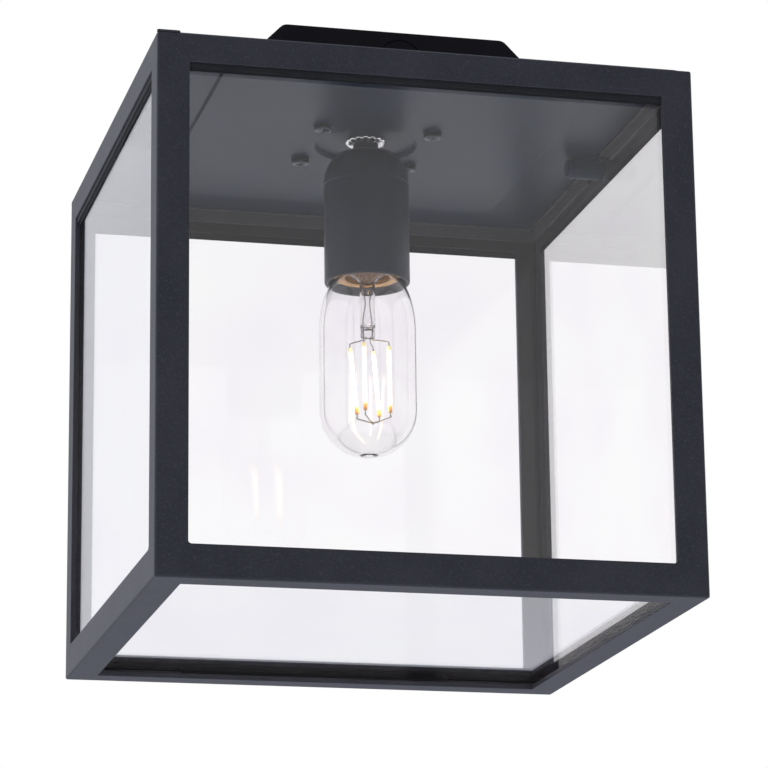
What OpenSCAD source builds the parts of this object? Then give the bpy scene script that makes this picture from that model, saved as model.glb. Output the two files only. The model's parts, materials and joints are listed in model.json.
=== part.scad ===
// Porch ceiling lantern: a square glazed cage that drops away below a fixed pan,
// with one screw-base lamp hanging from the middle of the pan.
// The origin is the middle of the face that lies against the ceiling, +Z is up,
// and the whole lantern hangs below it. The front is -Y.

/* [Cage frame] */
// Outer width of the cage, the same both ways
cage_w = 250; // [240:1:300]
// Height of the cage
cage_h = 248; // [240:1:300]
// Thickness of the steel angle that the cage is welded from
angle_t = 2.5; // [2:0.1:3]
// Width of each leg of a corner post
post_leg = 14.8; // [12:0.1:20]
// Radius of a corner post's outer edge
post_edge_r = 1.2; // [0.5:0.1:1.8]
// Height of a top rail's outer face
top_face = 13.5; // [12:0.1:18]
// Width of a top rail's inward flange
top_flange = 8; // [7:0.1:10]
// Height of a bottom rail's outer face
bottom_face = 15.2; // [13:0.1:20]
// Width of a bottom rail's inward flange
bottom_flange = 14; // [12:0.1:20]
// Length of the raised lap on the front left corner
lap_l = 10.6; // [8:0.1:14]
// Height of that lap
lap_h = 1; // [0.6:0.1:1.5]

/* [Glazing] */
// Thickness of a side pane
pane_t = 3; // [2.5:0.1:3.4]
// Thickness of the floor pane
floor_t = 3; // [2.5:0.1:5]
// Distance from the top of the cage to the top edge of the side panes
pane_drop = 4.8; // [4:0.1:6]
// Height of the pads that the floor pane lies on
pad_h = 2.4; // [2:0.1:5]
// Length of a floor pad
pad_l = 136; // [80:1:180]
// Width of a floor pad
pad_w = 6; // [4:0.1:9]
// Thickness of the rubber seal below a top rail
seal_t = 1.6; // [1:0.1:1.9]
// Depth of the rubber seal below a top rail
seal_h = 2.6; // [2:0.1:5]
// Thickness of the seal's lip
lip_t = 0.5; // [0.3:0.1:0.9]
// Depth of the seal's lip
lip_h = 1; // [0.5:0.1:2]
// Thickness of the bead that holds a pane from inside
bead_t = 1.2; // [0.8:0.1:1.3]
// Depth of the bead below the top rail's flange
bead_h = 6; // [4:0.1:9]
// Gap in the left and right beads, where the catches are
bead_gap = 38; // [20:1:60]

/* [Base against the ceiling] */
// Distance from the ceiling to the top of the cage
base_h = 33.4; // [31:0.1:60]
// Distance across the flanges of the base channel
channel_w = 120; // [100:1:150]
// Thickness of the base channel
channel_t = 1.5; // [1.2:0.1:2]
// Length of the channel at the ceiling
channel_top_l = 107; // [107:1:130]
// Length of the channel at the pan
channel_l = 144; // [140:1:160]
// Height of the upright ends of the channel's flanges
channel_end_h = 14; // [8:0.5:18]
// Radius of the flanges' upper corners
channel_corner_r = 5; // [2:0.5:8]
// Length of the ceiling bracket
bracket_l = 96; // [96:1:105]
// Thickness of the ceiling bracket
bracket_t = 1.5; // [1.2:0.1:2]
// Width of one of the bracket's four legs
leg_w = 16; // [12:0.5:18]
// Distance of the side screws from the middle
side_screw_x = 40; // [36:0.5:40]
// Height of the side screws above the top of the cage
side_screw_h = 8; // [7:0.1:10]
// Spacing of the slots for the ceiling screws
slot_spacing = 70; // [60:1:76]
// Width of a slot for a ceiling screw
slot_w = 5.2; // [4:0.1:6.5]
// Length of a slot for a ceiling screw
slot_l = 12; // [8:0.5:14]
// Diameter of the hole for the supply cable in the bracket
cable_hole_d = 22; // [18:0.5:26]
// Bore of the cable grommet
grommet_bore_d = 10; // [6:0.5:13]
// Diameter of the knock-out in the front flange
knockout_d = 21.6; // [15:0.1:23]
// Distance of the knock-out from the middle, to the right
knockout_x = 3; // [0:0.5:5]
// Height of the knock-out above the top of the cage
knockout_h = 19; // [17:0.1:20]
// Depth and width of the groove round the knock-out
groove = 0.6; // [0.4:0.1:0.8]

/* [Pan] */
// Thickness of the pan
pan_t = 1.2; // [0.8:0.1:1.5]
// How far the pan's rim lies over the cage's top flanges
pan_lap = 5.2; // [2:0.1:5.4]
// Gap between the pan and the cage's top flanges
pan_gap = 0.4; // [0.2:0.1:1]
// How far the pan's border hangs below the top of the cage
pan_drop = 2.2; // [1.8:0.1:2.3]
// Width of the field pressed down in the middle of the pan
field_w = 175.4; // [165:0.1:180]
// Length of that field, front to back
field_l = 180; // [160:0.1:190]
// How far the field is pressed down below the border
field_drop = 1.5; // [1:0.1:1.8]
// Diameter of the round boss pressed up in the middle of the field
boss_d = 48.8; // [44:0.1:56]
// Height of the boss
boss_h = 2.1; // [1.5:0.1:3]
// Spacing of the pan's four screws, left to right
pan_screw_x = 54; // [50:0.5:64]
// Spacing of the pan's four screws, front to back
pan_screw_y = 50; // [46:0.5:60]
// Diameter of the disc that stiffens the boss, between it and the channel
disc_d = 48; // [40:0.5:50]
// Thickness of that disc
disc_t = 0.9; // [0.5:0.1:1.2]

/* [Fasteners] */
// Diameter of the machine screws
screw_d = 4; // [3:0.1:4.4]
// Diameter of their heads
screw_head_d = 8.4; // [7:0.1:9]
// Height of their heads
screw_head_h = 2.6; // [1.5:0.1:3]
// Clearance of a hole round a screw, all round
screw_clear = 0.25; // [0.1:0.05:0.5]
// Thickness of the toothed washers under the heads
tooth_washer_t = 0.5; // [0.4:0.1:1]
// Thickness of the nuts
nut_t = 3; // [2:0.1:3.2]
// Distance across the flats of the screws' nuts
nut_af = 7; // [5.5:0.1:8]

/* [Lampholder] */
// Outer diameter of the lampholder
holder_d = 41.2; // [40:0.1:46]
// Wall of the lampholder
holder_t = 2; // [1.5:0.1:2.2]
// Diameter of the flat top of the lampholder's dome
dome_flat_d = 17.2; // [14:0.1:20]
// Height of the dome
dome_h = 15.6; // [12:0.1:18]
// Height of the lampholder from its rim to its flat top
holder_h = 66.3; // [64:0.1:75]
// Outer diameter of the threaded tube that the lampholder hangs on
tube_d = 10; // [10:0.1:11]
// Bore of that tube
tube_bore_d = 7; // [7:0.1:8]
// Thickness of the shiny toothed ring on top of the dome
ring_t = 1.8; // [1:0.1:2.5]
// Diameter of that ring
ring_d = 19.6; // [16:0.1:22]
// Height of the neck between that ring and the dome
holder_neck_h = 4; // [2:0.1:6]
// Wall of that neck round the threaded tube
holder_neck_wall = 1.2; // [1:0.1:3]
// Thread diameter that the lamp's cap needs in the brass shell
shell_bore_d = 26; // [26:0.1:27]
// Thickness of the brass shell
shell_t = 0.5; // [0.4:0.05:0.7]
// Length of the brass shell
shell_l = 26.8; // [25:0.1:27.5]

/* [Lamp] */
// Diameter of the glass
bulb_d = 46.6; // [40:0.1:50]
// Length of the lamp over all
bulb_l = 114.1; // [110:0.1:125]
// Thickness of the bulb's glass
bulb_t = 0.6; // [0.5:0.1:1]
// Height of the bulb's shoulder, from the neck to the full width
shoulder_h = 28; // [20:0.5:34]
// Clearance between the cap's thread and the shell, all round
cap_clear = 0.3; // [0.2:0.05:0.5]
// Length of a filament
filament_l = 33.5; // [20:0.5:36]
// Diameter of a filament
filament_d = 1.8; // [1.2:0.1:2.2]

/* [Catches] */
// Diameter of a catch housing
catch_d = 10; // [9:0.1:11]
// Length of a catch housing
catch_l = 20.3; // [18:0.1:24]
// Depth of a catch's middle below the top of the cage
catch_drop = 7.8; // [7.8:0.1:8.6]
// Diameter of the bolt in a catch
bolt_d = 6; // [5:0.1:6.4]
// Running clearance round the bolt, all round
bolt_clear = 0.05; // [0.03:0.01:0.1]
// How deep the bolt's nose sits in the dimple in the rail
bolt_in = 0.5; // [0.3:0.05:0.7]

/* [Hidden] */
$fn = 64;

// Finishes
steel_black = "#303338";
pan_grey = "#50565e";
channel_black = "#1a181d";
holder_grey = "#44484d";
rubber_black = "#18191b";
zinc = "#b9bcc0";
brass = "#b9975b";
glass_tint = [0.85, 0.9, 0.95, 0.35];

// Small overlap that makes a cut run clean through
cut = 1;
// Clearance between two edges of glass, or of glass and steel
glass_gap = 0.3;
// Clearance at the seat of a part that is only dropped or pushed in
seat_gap = 0.2;

// Levels of the cage, downwards from the ceiling
z_cage_top = -base_h;
z_cage_bottom = z_cage_top - cage_h;
z_floor_under = z_cage_bottom + angle_t + pad_h;
z_floor_top = z_floor_under + floor_t;
z_pane_top = z_cage_top - pane_drop;
z_catch = z_cage_top - catch_drop;

// Faces of the cage, outwards from the middle
cage_half = cage_w / 2;
wall_in = cage_half - angle_t;
pane_in = wall_in - pane_t;
flange_in = cage_half - top_flange;
post_in = cage_half - post_leg;

// Pan
pan_half = flange_in - pan_gap;
z_pan_top = z_cage_top + pan_t;
z_border_under = z_cage_top - pan_drop;
z_field_under = z_border_under - field_drop;
z_field_top = z_field_under + pan_t;
z_boss_under = z_field_under + boss_h;
z_boss_top = z_boss_under + pan_t;
z_web_under = z_boss_top + disc_t;
z_web_top = z_web_under + channel_t;

// Ceiling bracket and channel
channel_half = channel_w / 2;
channel_in = channel_half - channel_t;
z_side_screw = z_cage_top + side_screw_h;
leg_clear = 2.4;
thread_collar_t = 2.2;
collar_wall = 1.6;

// Lampholder
z_ring_under = z_boss_under - ring_t;
z_dome_top = z_ring_under - holder_neck_h;
z_dome_foot = z_dome_top - dome_h;
z_rim = z_dome_top - holder_h;
holder_r = holder_d / 2;
holder_in_r = holder_r - holder_t;
seam_h = 1.5;
z_seam = z_dome_foot - seam_h;
spigot_t = 1.6;
spigot_h = 5;
z_core_top = z_seam - spigot_h;
core_h = 13.9;
z_core_under = z_core_top - core_h;
collar_l = 11;
hub_wall = 2.5;
shell_r = shell_bore_d / 2;
z_shell_under = z_core_under - shell_l;

// Threaded tube
tube_r = tube_d / 2;
tube_clear = 0.15;
tube_above = 1.5;
z_tube_top = z_web_top + nut_t + tube_above;
z_tube_bottom = z_dome_top - holder_t - collar_l;

// Lamp
contact_h = 1.1;
contact_r = 4.4;
insulator_h = 2.6;
insulator_r = 9.4;
cap_r = shell_r - cap_clear;
cap_pitch = 3.63;
thread_depth = 0.9;
cap_turns = 4;
cap_lead = 1;
cap_skirt_h = 5;
cap_t = 0.35;
contact_gap = 0.3;
contact_tongue = 1.8;
z_bulb_contact = z_core_under - contact_tongue - contact_gap;
z_insulator = z_bulb_contact - contact_h;
z_cap_top = z_insulator - insulator_h;
z_thread = z_cap_top - cap_lead;
z_skirt = z_thread - cap_turns * cap_pitch;
z_cap_foot = z_skirt - cap_skirt_h;
z_bulb_tip = z_bulb_contact - bulb_l;
bulb_r = bulb_d / 2;
neck_r = cap_r - thread_depth - cap_t;
z_bulb_round = z_bulb_tip + bulb_r;
neck_below_cap = 0.2;
z_shoulder = z_cap_foot - neck_below_cap - shoulder_h;
stem_r = 3.8;
stem_t = 0.7;
stem_l = 23.2;
stem_below_cap = 3.3;
z_stem_top = z_cap_foot - stem_below_cap;
z_pinch = z_stem_top - stem_l;
pinch_w = 7;
pinch_d = 3.4;
pinch_h = 5;
z_lead = z_pinch - pinch_h;
lead_r = 0.3;
filament_drop = 3.6;
z_filament = z_lead - filament_drop;
// Where the four filaments hang, at their tops and at their feet
filament_tops = [[-8, 3.6], [-3.8, -7.6], [4.5, 7.6], [9.5, -3.6]];
filament_feet = [[-4.8, 3], [-3, -6], [6.8, 6], [9.8, -3.5]];
knot_drop = 4.4;

// Catches
bolt_r = bolt_d / 2;
bolt_bore_r = bolt_r + bolt_clear;
catch_r = catch_d / 2;
catch_clear = 0.6;
catch_wall = 1.1;
catch_out = wall_in - catch_clear;
catch_in = catch_out - catch_l;
catch_end_r = 2;
shoulder_t = 4.4;
bolt_head_r = catch_r - catch_wall - bolt_clear;
bolt_head_l = 3.4;
bolt_travel = 0.8;
spring_end = catch_in + 4;
bolt_tip = wall_in + bolt_in;
bolt_shoulder = catch_out - shoulder_t;
bolt_rear = bolt_shoulder - bolt_head_l;
spring_wire_r = 0.35;
spring_slack = 0.1;
spring_r = bolt_head_r - spring_wire_r - 0.2;
spring_turns = 4;
catch_pad_l = 13;
catch_pad_w = 7;
catch_notch = catch_r + catch_clear;

// Wires
wire_r = 1.05;
wire_steps = 4;

// ---------------------------------------------------------------- helpers

// Points of an elliptical arc round c, from angle a0 to a1
function arc(c, rx, ry, a0, a1, n) =
    [for (i = [0:n]) let (a = a0 + (a1 - a0) * i / n) [c[0] + rx * cos(a), c[1] + ry * sin(a)]];

// A tube or a rod along Z from z0 up to z1
module pipe(r, bore, z0, z1) {
    difference() {
        translate([0, 0, z0]) cylinder(r = r, h = z1 - z0);
        translate([0, 0, z0 - cut]) cylinder(r = bore, h = z1 - z0 + 2 * cut);
    }
}

// A plain block between two corners
module block(low, high) {
    translate(low) cube(high - low);
}

// A round rod between two points
module rod(p, q, r) {
    v = q - p;
    turn = atan2(v[1], v[0]);
    tilt = acos(v[2] / norm(v));
    translate(p) rotate([0, tilt, turn]) cylinder(r = r, h = norm(v), $fn = 24);
}

// A machine screw with its head down, its neck at z = 0 and its shank up
module screw_head_down(shank) {
    difference() {
        union() {
            translate([0, 0, -screw_head_h]) cylinder(d = screw_head_d, h = screw_head_h);
            cylinder(d = screw_d, h = shank);
        }
        cross_recess(-screw_head_h);
    }
}

// The cross recess of a screw, cut upwards from the level z
module cross_recess(z) {
    recess_l = screw_head_d * 0.55;
    recess_w = screw_d * 0.25;
    recess_h = screw_head_h * 0.55;
    for (a = [0, 90])
        rotate(a) translate([-recess_l / 2, -recess_w / 2, z - cut]) cube([recess_l, recess_w, recess_h + cut]);
}

// A ring with teeth round its outside, standing on z = 0
module toothed_washer(r, bore, t, teeth) {
    tooth = r * 0.14;
    difference() {
        cylinder(r = r, h = t);
        translate([0, 0, -cut]) cylinder(r = bore, h = t + 2 * cut);
        for (i = [0:teeth - 1])
            rotate(i * 360 / teeth)
                translate([r - tooth, -tooth / 2, -cut])
                    cube([2 * tooth, tooth, t + 2 * cut]);
    }
}

// A hexagon nut standing on z = 0
module hex_nut(af, bore_r, t) {
    difference() {
        cylinder(d = af / cos(30), h = t, $fn = 6);
        translate([0, 0, -cut]) cylinder(r = bore_r, h = t + 2 * cut);
    }
}

// The four places of the pan's screws
module at_pan_screws() {
    for (sx = [-1, 1], sy = [-1, 1])
        translate([sx * pan_screw_x / 2, sy * pan_screw_y / 2, 0]) children();
}

// The four places of the side screws, turned so that +X points inwards
module at_side_screws() {
    for (sx = [-1, 1], sy = [-1, 1])
        translate([sx * side_screw_x, sy * channel_half, z_side_screw]) rotate([0, 0, -90 * sy]) children();
}

// Route points of a wire, rounded by a Catmull-Rom curve
function bend(a, b, c, d, t) =
    0.5 * (2 * b + (c - a) * t + (2 * a - 5 * b + 4 * c - d) * pow(t, 2) + (3 * b - a - 3 * c + d) * pow(t, 3));
function smooth(p) = concat(
    [for (i = [0:len(p) - 2], s = [0:wire_steps - 1])
        bend(p[max(i - 1, 0)], p[i], p[i + 1], p[min(i + 2, len(p) - 1)], s / wire_steps)],
    [p[len(p) - 1]]);
function unit(v) = v / norm(v);
function tangents(p) =
    [for (i = [0:len(p) - 1]) unit(p[min(i + 1, len(p) - 1)] - p[max(i - 1, 0)])];
// A side direction at every point, carried along so that the tube never twists
function sides(t, start) =
    [for (i = 0, n = unit(start - (start * t[0]) * t[0]); i < len(t);
        i = i + 1, n = i < len(t) ? unit(n - (n * t[i]) * t[i]) : n) n];

// A wire along a route, as one closed tube of eight sides
module wire(route, start) {
    facets = 8;
    p = smooth(route);
    t = tangents(p);
    n = sides(t, start);
    rings = len(p);
    points = [for (i = [0:rings - 1], k = [0:facets - 1])
        let (a = 360 * k / facets) p[i] + wire_r * (cos(a) * n[i] + sin(a) * cross(t[i], n[i]))];
    skin = [for (i = [0:rings - 2], k = [0:facets - 1], half = [0, 1])
        let (a = i * facets + k, b = i * facets + (k + 1) % facets)
            half == 0 ? [a, b, b + facets] : [a, b + facets, a + facets]];
    ends = [
        [for (k = [0:facets - 1]) facets - 1 - k],
        [for (k = [0:facets - 1]) (rings - 1) * facets + k]];
    mirror_faces = [for (f = concat(skin, ends)) [for (k = [len(f) - 1:-1:0]) f[k]]];
    polyhedron(points, mirror_faces);
}

// ---------------------------------------------------------------- base against the ceiling

module slot(x, z, t) {
    for (e = [-1, 1])
        translate([x + e * (slot_l - slot_w) / 2, 0, z - cut]) cylinder(d = slot_w, h = t + 2 * cut);
    translate([x - (slot_l - slot_w) / 2, -slot_w / 2, z - cut]) cube([slot_l - slot_w, slot_w, t + 2 * cut]);
}

module ceiling_bracket() {
    z_leg = z_web_top + leg_clear;
    color(zinc) difference() {
        union() {
            block([-bracket_l / 2, -channel_in, -bracket_t], [bracket_l / 2, channel_in, 0]);
            for (sx = [-1, 1], sy = [-1, 1])
                translate([sx * side_screw_x, sy * channel_in, 0])
                    rotate([0, 0, -90 * sy])
                        block([0, -leg_w / 2, z_leg], [bracket_t, leg_w / 2, 0]);
            at_side_screws() translate([channel_t, 0, 0]) rotate([0, 90, 0])
                cylinder(r = screw_d / 2 + collar_wall, h = bracket_t + thread_collar_t);
        }
        for (s = [-1, 1]) slot(s * slot_spacing / 2, -bracket_t, bracket_t);
        translate([0, 0, -bracket_t - cut]) cylinder(d = cable_hole_d, h = bracket_t + 2 * cut);
        at_side_screws() rotate([0, 90, 0]) cylinder(d = screw_d, h = channel_w / 4);
    }
}

module cable_grommet() {
    flange_t = 1.6;
    flange_r = cable_hole_d / 2 + 2;
    color(rubber_black) difference() {
        union() {
            translate([0, 0, -bracket_t]) cylinder(d = cable_hole_d, h = bracket_t);
            translate([0, 0, -bracket_t - flange_t]) cylinder(r = flange_r, h = flange_t);
        }
        translate([0, 0, -bracket_t - flange_t - cut])
            cylinder(d = grommet_bore_d, h = bracket_t + flange_t + 2 * cut);
    }
}

module side_screws() {
    shank = channel_t + bracket_t + thread_collar_t + 1;
    color(zinc) at_side_screws() rotate([0, 90, 0]) screw_head_down(shank);
}

// Outline of the channel's flange, in X and Z
module flange_outline() {
    top = channel_top_l / 2;
    low = channel_l / 2;
    z_end = z_web_under + channel_end_h;
    slope = atan2(-z_end, low - top);
    // Centre of the rounded corner, touching both the top edge and the slope
    corner_x = top - channel_corner_r * tan(slope / 2);
    for (s = [0, 1]) mirror([s, 0]) {
        polygon([[0, z_web_under], [low, z_web_under], [low, z_end],
            [corner_x + channel_corner_r * sin(slope), channel_corner_r * (cos(slope) - 1)],
            [corner_x, -channel_corner_r], [corner_x, 0], [0, 0]]);
        translate([corner_x, -channel_corner_r]) circle(r = channel_corner_r);
    }
}

module base_channel() {
    z_knockout = z_cage_top + knockout_h;
    color(channel_black) difference() {
        union() {
            block([-channel_l / 2, -channel_half, z_web_under], [channel_l / 2, channel_half, z_web_top]);
            for (y = [-channel_half, channel_in])
                translate([0, y + channel_t, 0]) rotate([90, 0, 0]) linear_extrude(channel_t) flange_outline();
        }
        translate([0, 0, z_web_under - cut]) cylinder(r = tube_r + tube_clear, h = channel_t + 2 * cut);
        at_pan_screws() translate([0, 0, z_web_under - cut])
            cylinder(r = screw_d / 2 + screw_clear, h = channel_t + 2 * cut);
        at_side_screws() translate([-cut, 0, 0]) rotate([0, 90, 0])
            cylinder(r = screw_d / 2 + screw_clear, h = channel_t + 2 * cut);
        translate([earth_x, 0, z_web_under - cut]) cylinder(d = screw_d, h = channel_t + 2 * cut);
        translate([knockout_x, -channel_half - cut, z_knockout]) rotate([-90, 0, 0])
            pipe(knockout_d / 2, knockout_d / 2 - groove, 0, cut + groove);
    }
}

terminal_inset = 26;
earth_x = terminal_inset - channel_l / 2;
block_x = channel_l / 2 - terminal_inset;
block_l = 30;
block_w = 17;
block_h = 14;
pole_pitch = 9.6;
terminal_screw_d = 3;
wire_hole_d = 2.9;
terminal_level = 4.6;

module terminal_block() {
    z_hole = z_web_top + terminal_level;
    color("#e8e6df") difference() {
        block([block_x - block_w / 2, -block_l / 2, z_web_top], [block_x + block_w / 2, block_l / 2, z_web_top + block_h]);
        for (i = [-1:1]) translate([0, i * pole_pitch, 0]) {
            for (s = [-1, 1]) translate([block_x + s * block_w / 4, 0, z_hole])
                cylinder(d = terminal_screw_d, h = block_h);
            translate([block_x - block_w / 2 - cut, 0, z_hole]) rotate([0, 90, 0])
                cylinder(d = wire_hole_d, h = block_w + 2 * cut);
        }
        for (s = [-0.5, 0.5]) translate([block_x, s * pole_pitch, z_web_top + block_h / 2])
            cylinder(d = terminal_screw_d, h = block_h);
    }
}

module terminal_screws() {
    // Each screw stands on its wire, or on the floor of the wire's hole where no wire is
    z_end = z_web_top + terminal_level + wire_hole_d / 2;
    screw_l = 6;
    color(zinc) for (i = [-1:1], s = [-1, 1])
        translate([block_x + s * block_w / 4, i * pole_pitch, z_end]) difference() {
            cylinder(d = terminal_screw_d, h = screw_l);
            translate([-terminal_screw_d, -0.3, screw_l - 0.8]) cube([2 * terminal_screw_d, 0.6, cut + 0.8]);
        }
}

lug_t = 0.8;
lug_r = 4.4;
lug_tail = 11;

module earth_screw() {
    z = z_web_top + lug_t;
    color(zinc) translate([earth_x, 0, z]) mirror([0, 0, 1]) screw_head_down(lug_t + channel_t);
}

module earth_lug() {
    color(brass) difference() {
        union() {
            translate([earth_x, 0, z_web_top]) cylinder(r = lug_r, h = lug_t);
            block([earth_x, -wire_r * 1.6, z_web_top], [earth_x + lug_tail, wire_r * 1.6, z_web_top + lug_t]);
        }
        translate([earth_x, 0, z_web_top - cut]) cylinder(d = screw_d, h = lug_t + 2 * cut);
    }
}

// ---------------------------------------------------------------- pan

module ceiling_pan() {
    rx = field_w / 2;
    ry = field_l / 2;
    border_top = z_border_under + pan_t;
    color(pan_grey) difference() {
        union() {
            // Rim over the cage's flanges, the step down, the border, and the field below it
            block([-flange_in - pan_lap, -flange_in - pan_lap, z_cage_top],
                [flange_in + pan_lap, flange_in + pan_lap, z_pan_top]);
            block([-pan_half, -pan_half, z_border_under], [pan_half, pan_half, z_cage_top]);
            block([-rx, -ry, z_field_under], [rx, ry, z_border_under]);
        }
        // Hollow above the border and the field, round the boss
        difference() {
            union() {
                block([pan_t - pan_half, pan_t - pan_half, border_top], [pan_half - pan_t, pan_half - pan_t, z_pan_top + cut]);
                block([pan_t - rx, pan_t - ry, z_field_top], [rx - pan_t, ry - pan_t, border_top + cut]);
            }
            translate([0, 0, z_field_under]) cylinder(r = boss_d / 2 + pan_t, h = z_boss_top - z_field_under);
        }
        // Underside of the boss
        translate([0, 0, z_field_under - cut]) cylinder(d = boss_d, h = boss_h + cut);
        translate([0, 0, z_boss_under - cut]) cylinder(r = tube_r + tube_clear, h = pan_t + 2 * cut);
        at_pan_screws() translate([0, 0, z_field_under - cut])
            cylinder(r = screw_d / 2 + screw_clear, h = pan_t + 2 * cut);
    }
}

module pan_screws() {
    shank = tooth_washer_t + z_web_top - z_field_under + nut_t + 1;
    color(zinc) at_pan_screws() translate([0, 0, z_field_under - tooth_washer_t]) screw_head_down(shank);
}

module pan_washers() {
    washer_r = screw_head_d / 2 + 0.5;
    color(zinc) at_pan_screws() translate([0, 0, z_field_under - tooth_washer_t])
        toothed_washer(washer_r, screw_d / 2 + screw_clear, tooth_washer_t, 10);
}

module pan_nuts() {
    color(zinc) at_pan_screws() translate([0, 0, z_web_top]) hex_nut(nut_af, screw_d / 2, nut_t);
}

module threaded_tube() {
    color(zinc) pipe(tube_r, tube_bore_d / 2, z_tube_bottom, z_tube_top);
}

module tube_nut() {
    af = tube_d + 4;
    color(zinc) translate([0, 0, z_web_top]) hex_nut(af, tube_r, nut_t);
}

module stiffening_disc() {
    color(pan_grey) pipe(disc_d / 2, tube_r + tube_clear, z_boss_top, z_web_under);
}

module toothed_ring() {
    color(zinc) translate([0, 0, z_ring_under]) toothed_washer(ring_d / 2, tube_r + tube_clear, ring_t, 16);
}

// ---------------------------------------------------------------- lampholder

module holder_dome() {
    flat_r = dome_flat_d / 2;
    in_flat = flat_r - holder_t / 2;
    in_top = z_dome_top - holder_t;
    spigot_r = holder_in_r - seat_gap;
    outer = arc([flat_r, z_dome_foot], holder_r - flat_r, dome_h, 90, 0, 16);
    inner = arc([in_flat, z_dome_foot], spigot_r - spigot_t - in_flat, in_top - z_dome_foot, 0, 90, 16);
    color(holder_grey) difference() {
        union() {
            rotate_extrude() polygon(concat([[0, z_dome_top]], outer,
                [[holder_r, z_seam], [spigot_r, z_seam], [spigot_r, z_core_top], [spigot_r - spigot_t, z_core_top]],
                inner, [[0, in_top]]));
            translate([0, 0, z_tube_bottom]) cylinder(r = tube_r + hub_wall, h = in_top - z_tube_bottom + holder_t / 2);
            translate([0, 0, in_top + holder_t / 2])
                cylinder(r = tube_r + holder_neck_wall, h = z_ring_under - in_top - holder_t / 2);
        }
        translate([0, 0, z_tube_bottom - cut]) cylinder(r = tube_r, h = z_ring_under - z_tube_bottom + 2 * cut);
    }
}

module holder_sleeve() {
    edge = 0.8;
    color(holder_grey) rotate_extrude() polygon(concat(
        [[holder_in_r, z_seam], [holder_r, z_seam]],
        arc([holder_r - edge, z_rim + edge], edge, edge, 0, -90, 6),
        [[holder_in_r, z_rim]]));
}

contact_post_x = 10;
contact_post_d = 4;

module holder_core() {
    core_r = holder_in_r - seat_gap;
    color("#d9d6cc") difference() {
        translate([0, 0, z_core_under]) cylinder(r = core_r, h = core_h);
        for (s = [-1, 1]) translate([s * contact_post_x, 0, z_core_top - core_h / 2])
            cylinder(d = contact_post_d, h = core_h);
    }
}

module contact_screws() {
    head_h = 1.6;
    color(brass) for (s = [-1, 1]) translate([s * contact_post_x, 0, z_core_top]) difference() {
        union() {
            translate([0, 0, -core_h / 2]) cylinder(d = contact_post_d, h = core_h / 2);
            cylinder(d = contact_post_d + 2, h = head_h);
        }
        translate([-contact_post_d, -0.4, head_h - 0.8]) cube([2 * contact_post_d, 0.8, cut + 0.8]);
    }
}

// Wavy profile of a rolled thread: n waves down from z, crests at radius r
function waves(r, z, n, depth, pitch) =
    [for (i = [0:n * 8]) [r - depth * (1 - cos(i * 45)) / 2, z - pitch * i / 8]];

module screw_shell() {
    n = 5;
    r = shell_r + thread_depth;
    z = z_core_under - 2;
    flare = 1.2;
    foot = z_shell_under;
    in = waves(r, z, n, thread_depth, cap_pitch);
    out = [for (i = [len(in) - 1:-1:0]) in[i] + [shell_t, 0]];
    color(brass) rotate_extrude() polygon(concat(
        [[contact_r + 2.4, z_core_under], [contact_r + 2.4, z_core_under - shell_t], [r, z_core_under - shell_t]],
        in, [[r, foot + flare], [r + flare, foot], [r + flare + shell_t, foot], [r + shell_t, foot + flare]],
        out, [[r + shell_t, z_core_under]]));
}

module centre_contact() {
    spring_w = 5;
    tongue_l = 8;
    t = 0.5;
    color(brass) {
        block([-tongue_l / 2, -spring_w / 2, z_core_under - t], [tongue_l / 2, spring_w / 2, z_core_under]);
        translate([0, 0, z_core_under - contact_tongue]) cylinder(d = spring_w, h = contact_tongue - t / 2);
    }
}

// ---------------------------------------------------------------- wires

wire_in_x = block_x - block_w / 2 + 2;
wire_in_z = z_web_top + terminal_level;
// Straight run of a wire out of its terminal
wire_stub = 8;
// Where the wires have risen off the terminals, and by how much
rise_x = 20;
live_rise = 4;
neutral_rise = 5;
earth_rise = 6;
// The bend over the threaded tube, and the wires' distance from its axis
over_tube = 4;
in_tube_x = 1.6;
past_tube = 2;
// How far the neutral and earth wires swing out on their way
neutral_swing = 8;
earth_swing = 17;
earth_crest = 8;
earth_bend_x = 22;
earth_bend_y = 12;
earth_turn_y = 14;

// The last stretch of a wire, from above the tube down to its contact post on side s
function into_holder(s) = [[s * 2, 0, z_tube_top + over_tube], [s * in_tube_x, 0, z_tube_top - past_tube],
    [s * in_tube_x, 0, z_tube_bottom + past_tube], [s * 4, 0, z_tube_bottom - 3],
    [s * contact_post_x, 0, z_core_top + 3.4], [s * contact_post_x, 0, z_core_top + 1.6]];

module live_wire() {
    color("#6b3b22") wire(concat([[wire_in_x, 0, wire_in_z], [wire_in_x - wire_stub, 0, wire_in_z],
        [rise_x, 1, wire_in_z + live_rise], [9, 1, z_tube_top + over_tube + 1]], into_holder(1)), [0, 1, 0]);
}

module neutral_wire() {
    y = -pole_pitch;
    color("#2f62a8") wire(concat([[wire_in_x, y, wire_in_z], [wire_in_x - wire_stub, y, wire_in_z],
        [rise_x, -neutral_swing, wire_in_z + neutral_rise], [4, -5, z_tube_top + over_tube + 2]],
        into_holder(-1)), [0, 1, 0]);
}

module earth_wire() {
    tail_x = earth_x + lug_tail;
    z = z_web_top + lug_t + wire_r;
    color("#8fa53a") wire([[tail_x - 4, 0, z], [tail_x + 2, 0, z],
        [-earth_bend_x, earth_bend_y, z + neutral_rise], [0, earth_swing, z + earth_crest],
        [rise_x, earth_turn_y, z + earth_rise], [wire_in_x - wire_stub, pole_pitch, wire_in_z],
        [wire_in_x, pole_pitch, wire_in_z]], [0, 1, 0]);
}

// ---------------------------------------------------------------- catches, drawn for the right side

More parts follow.
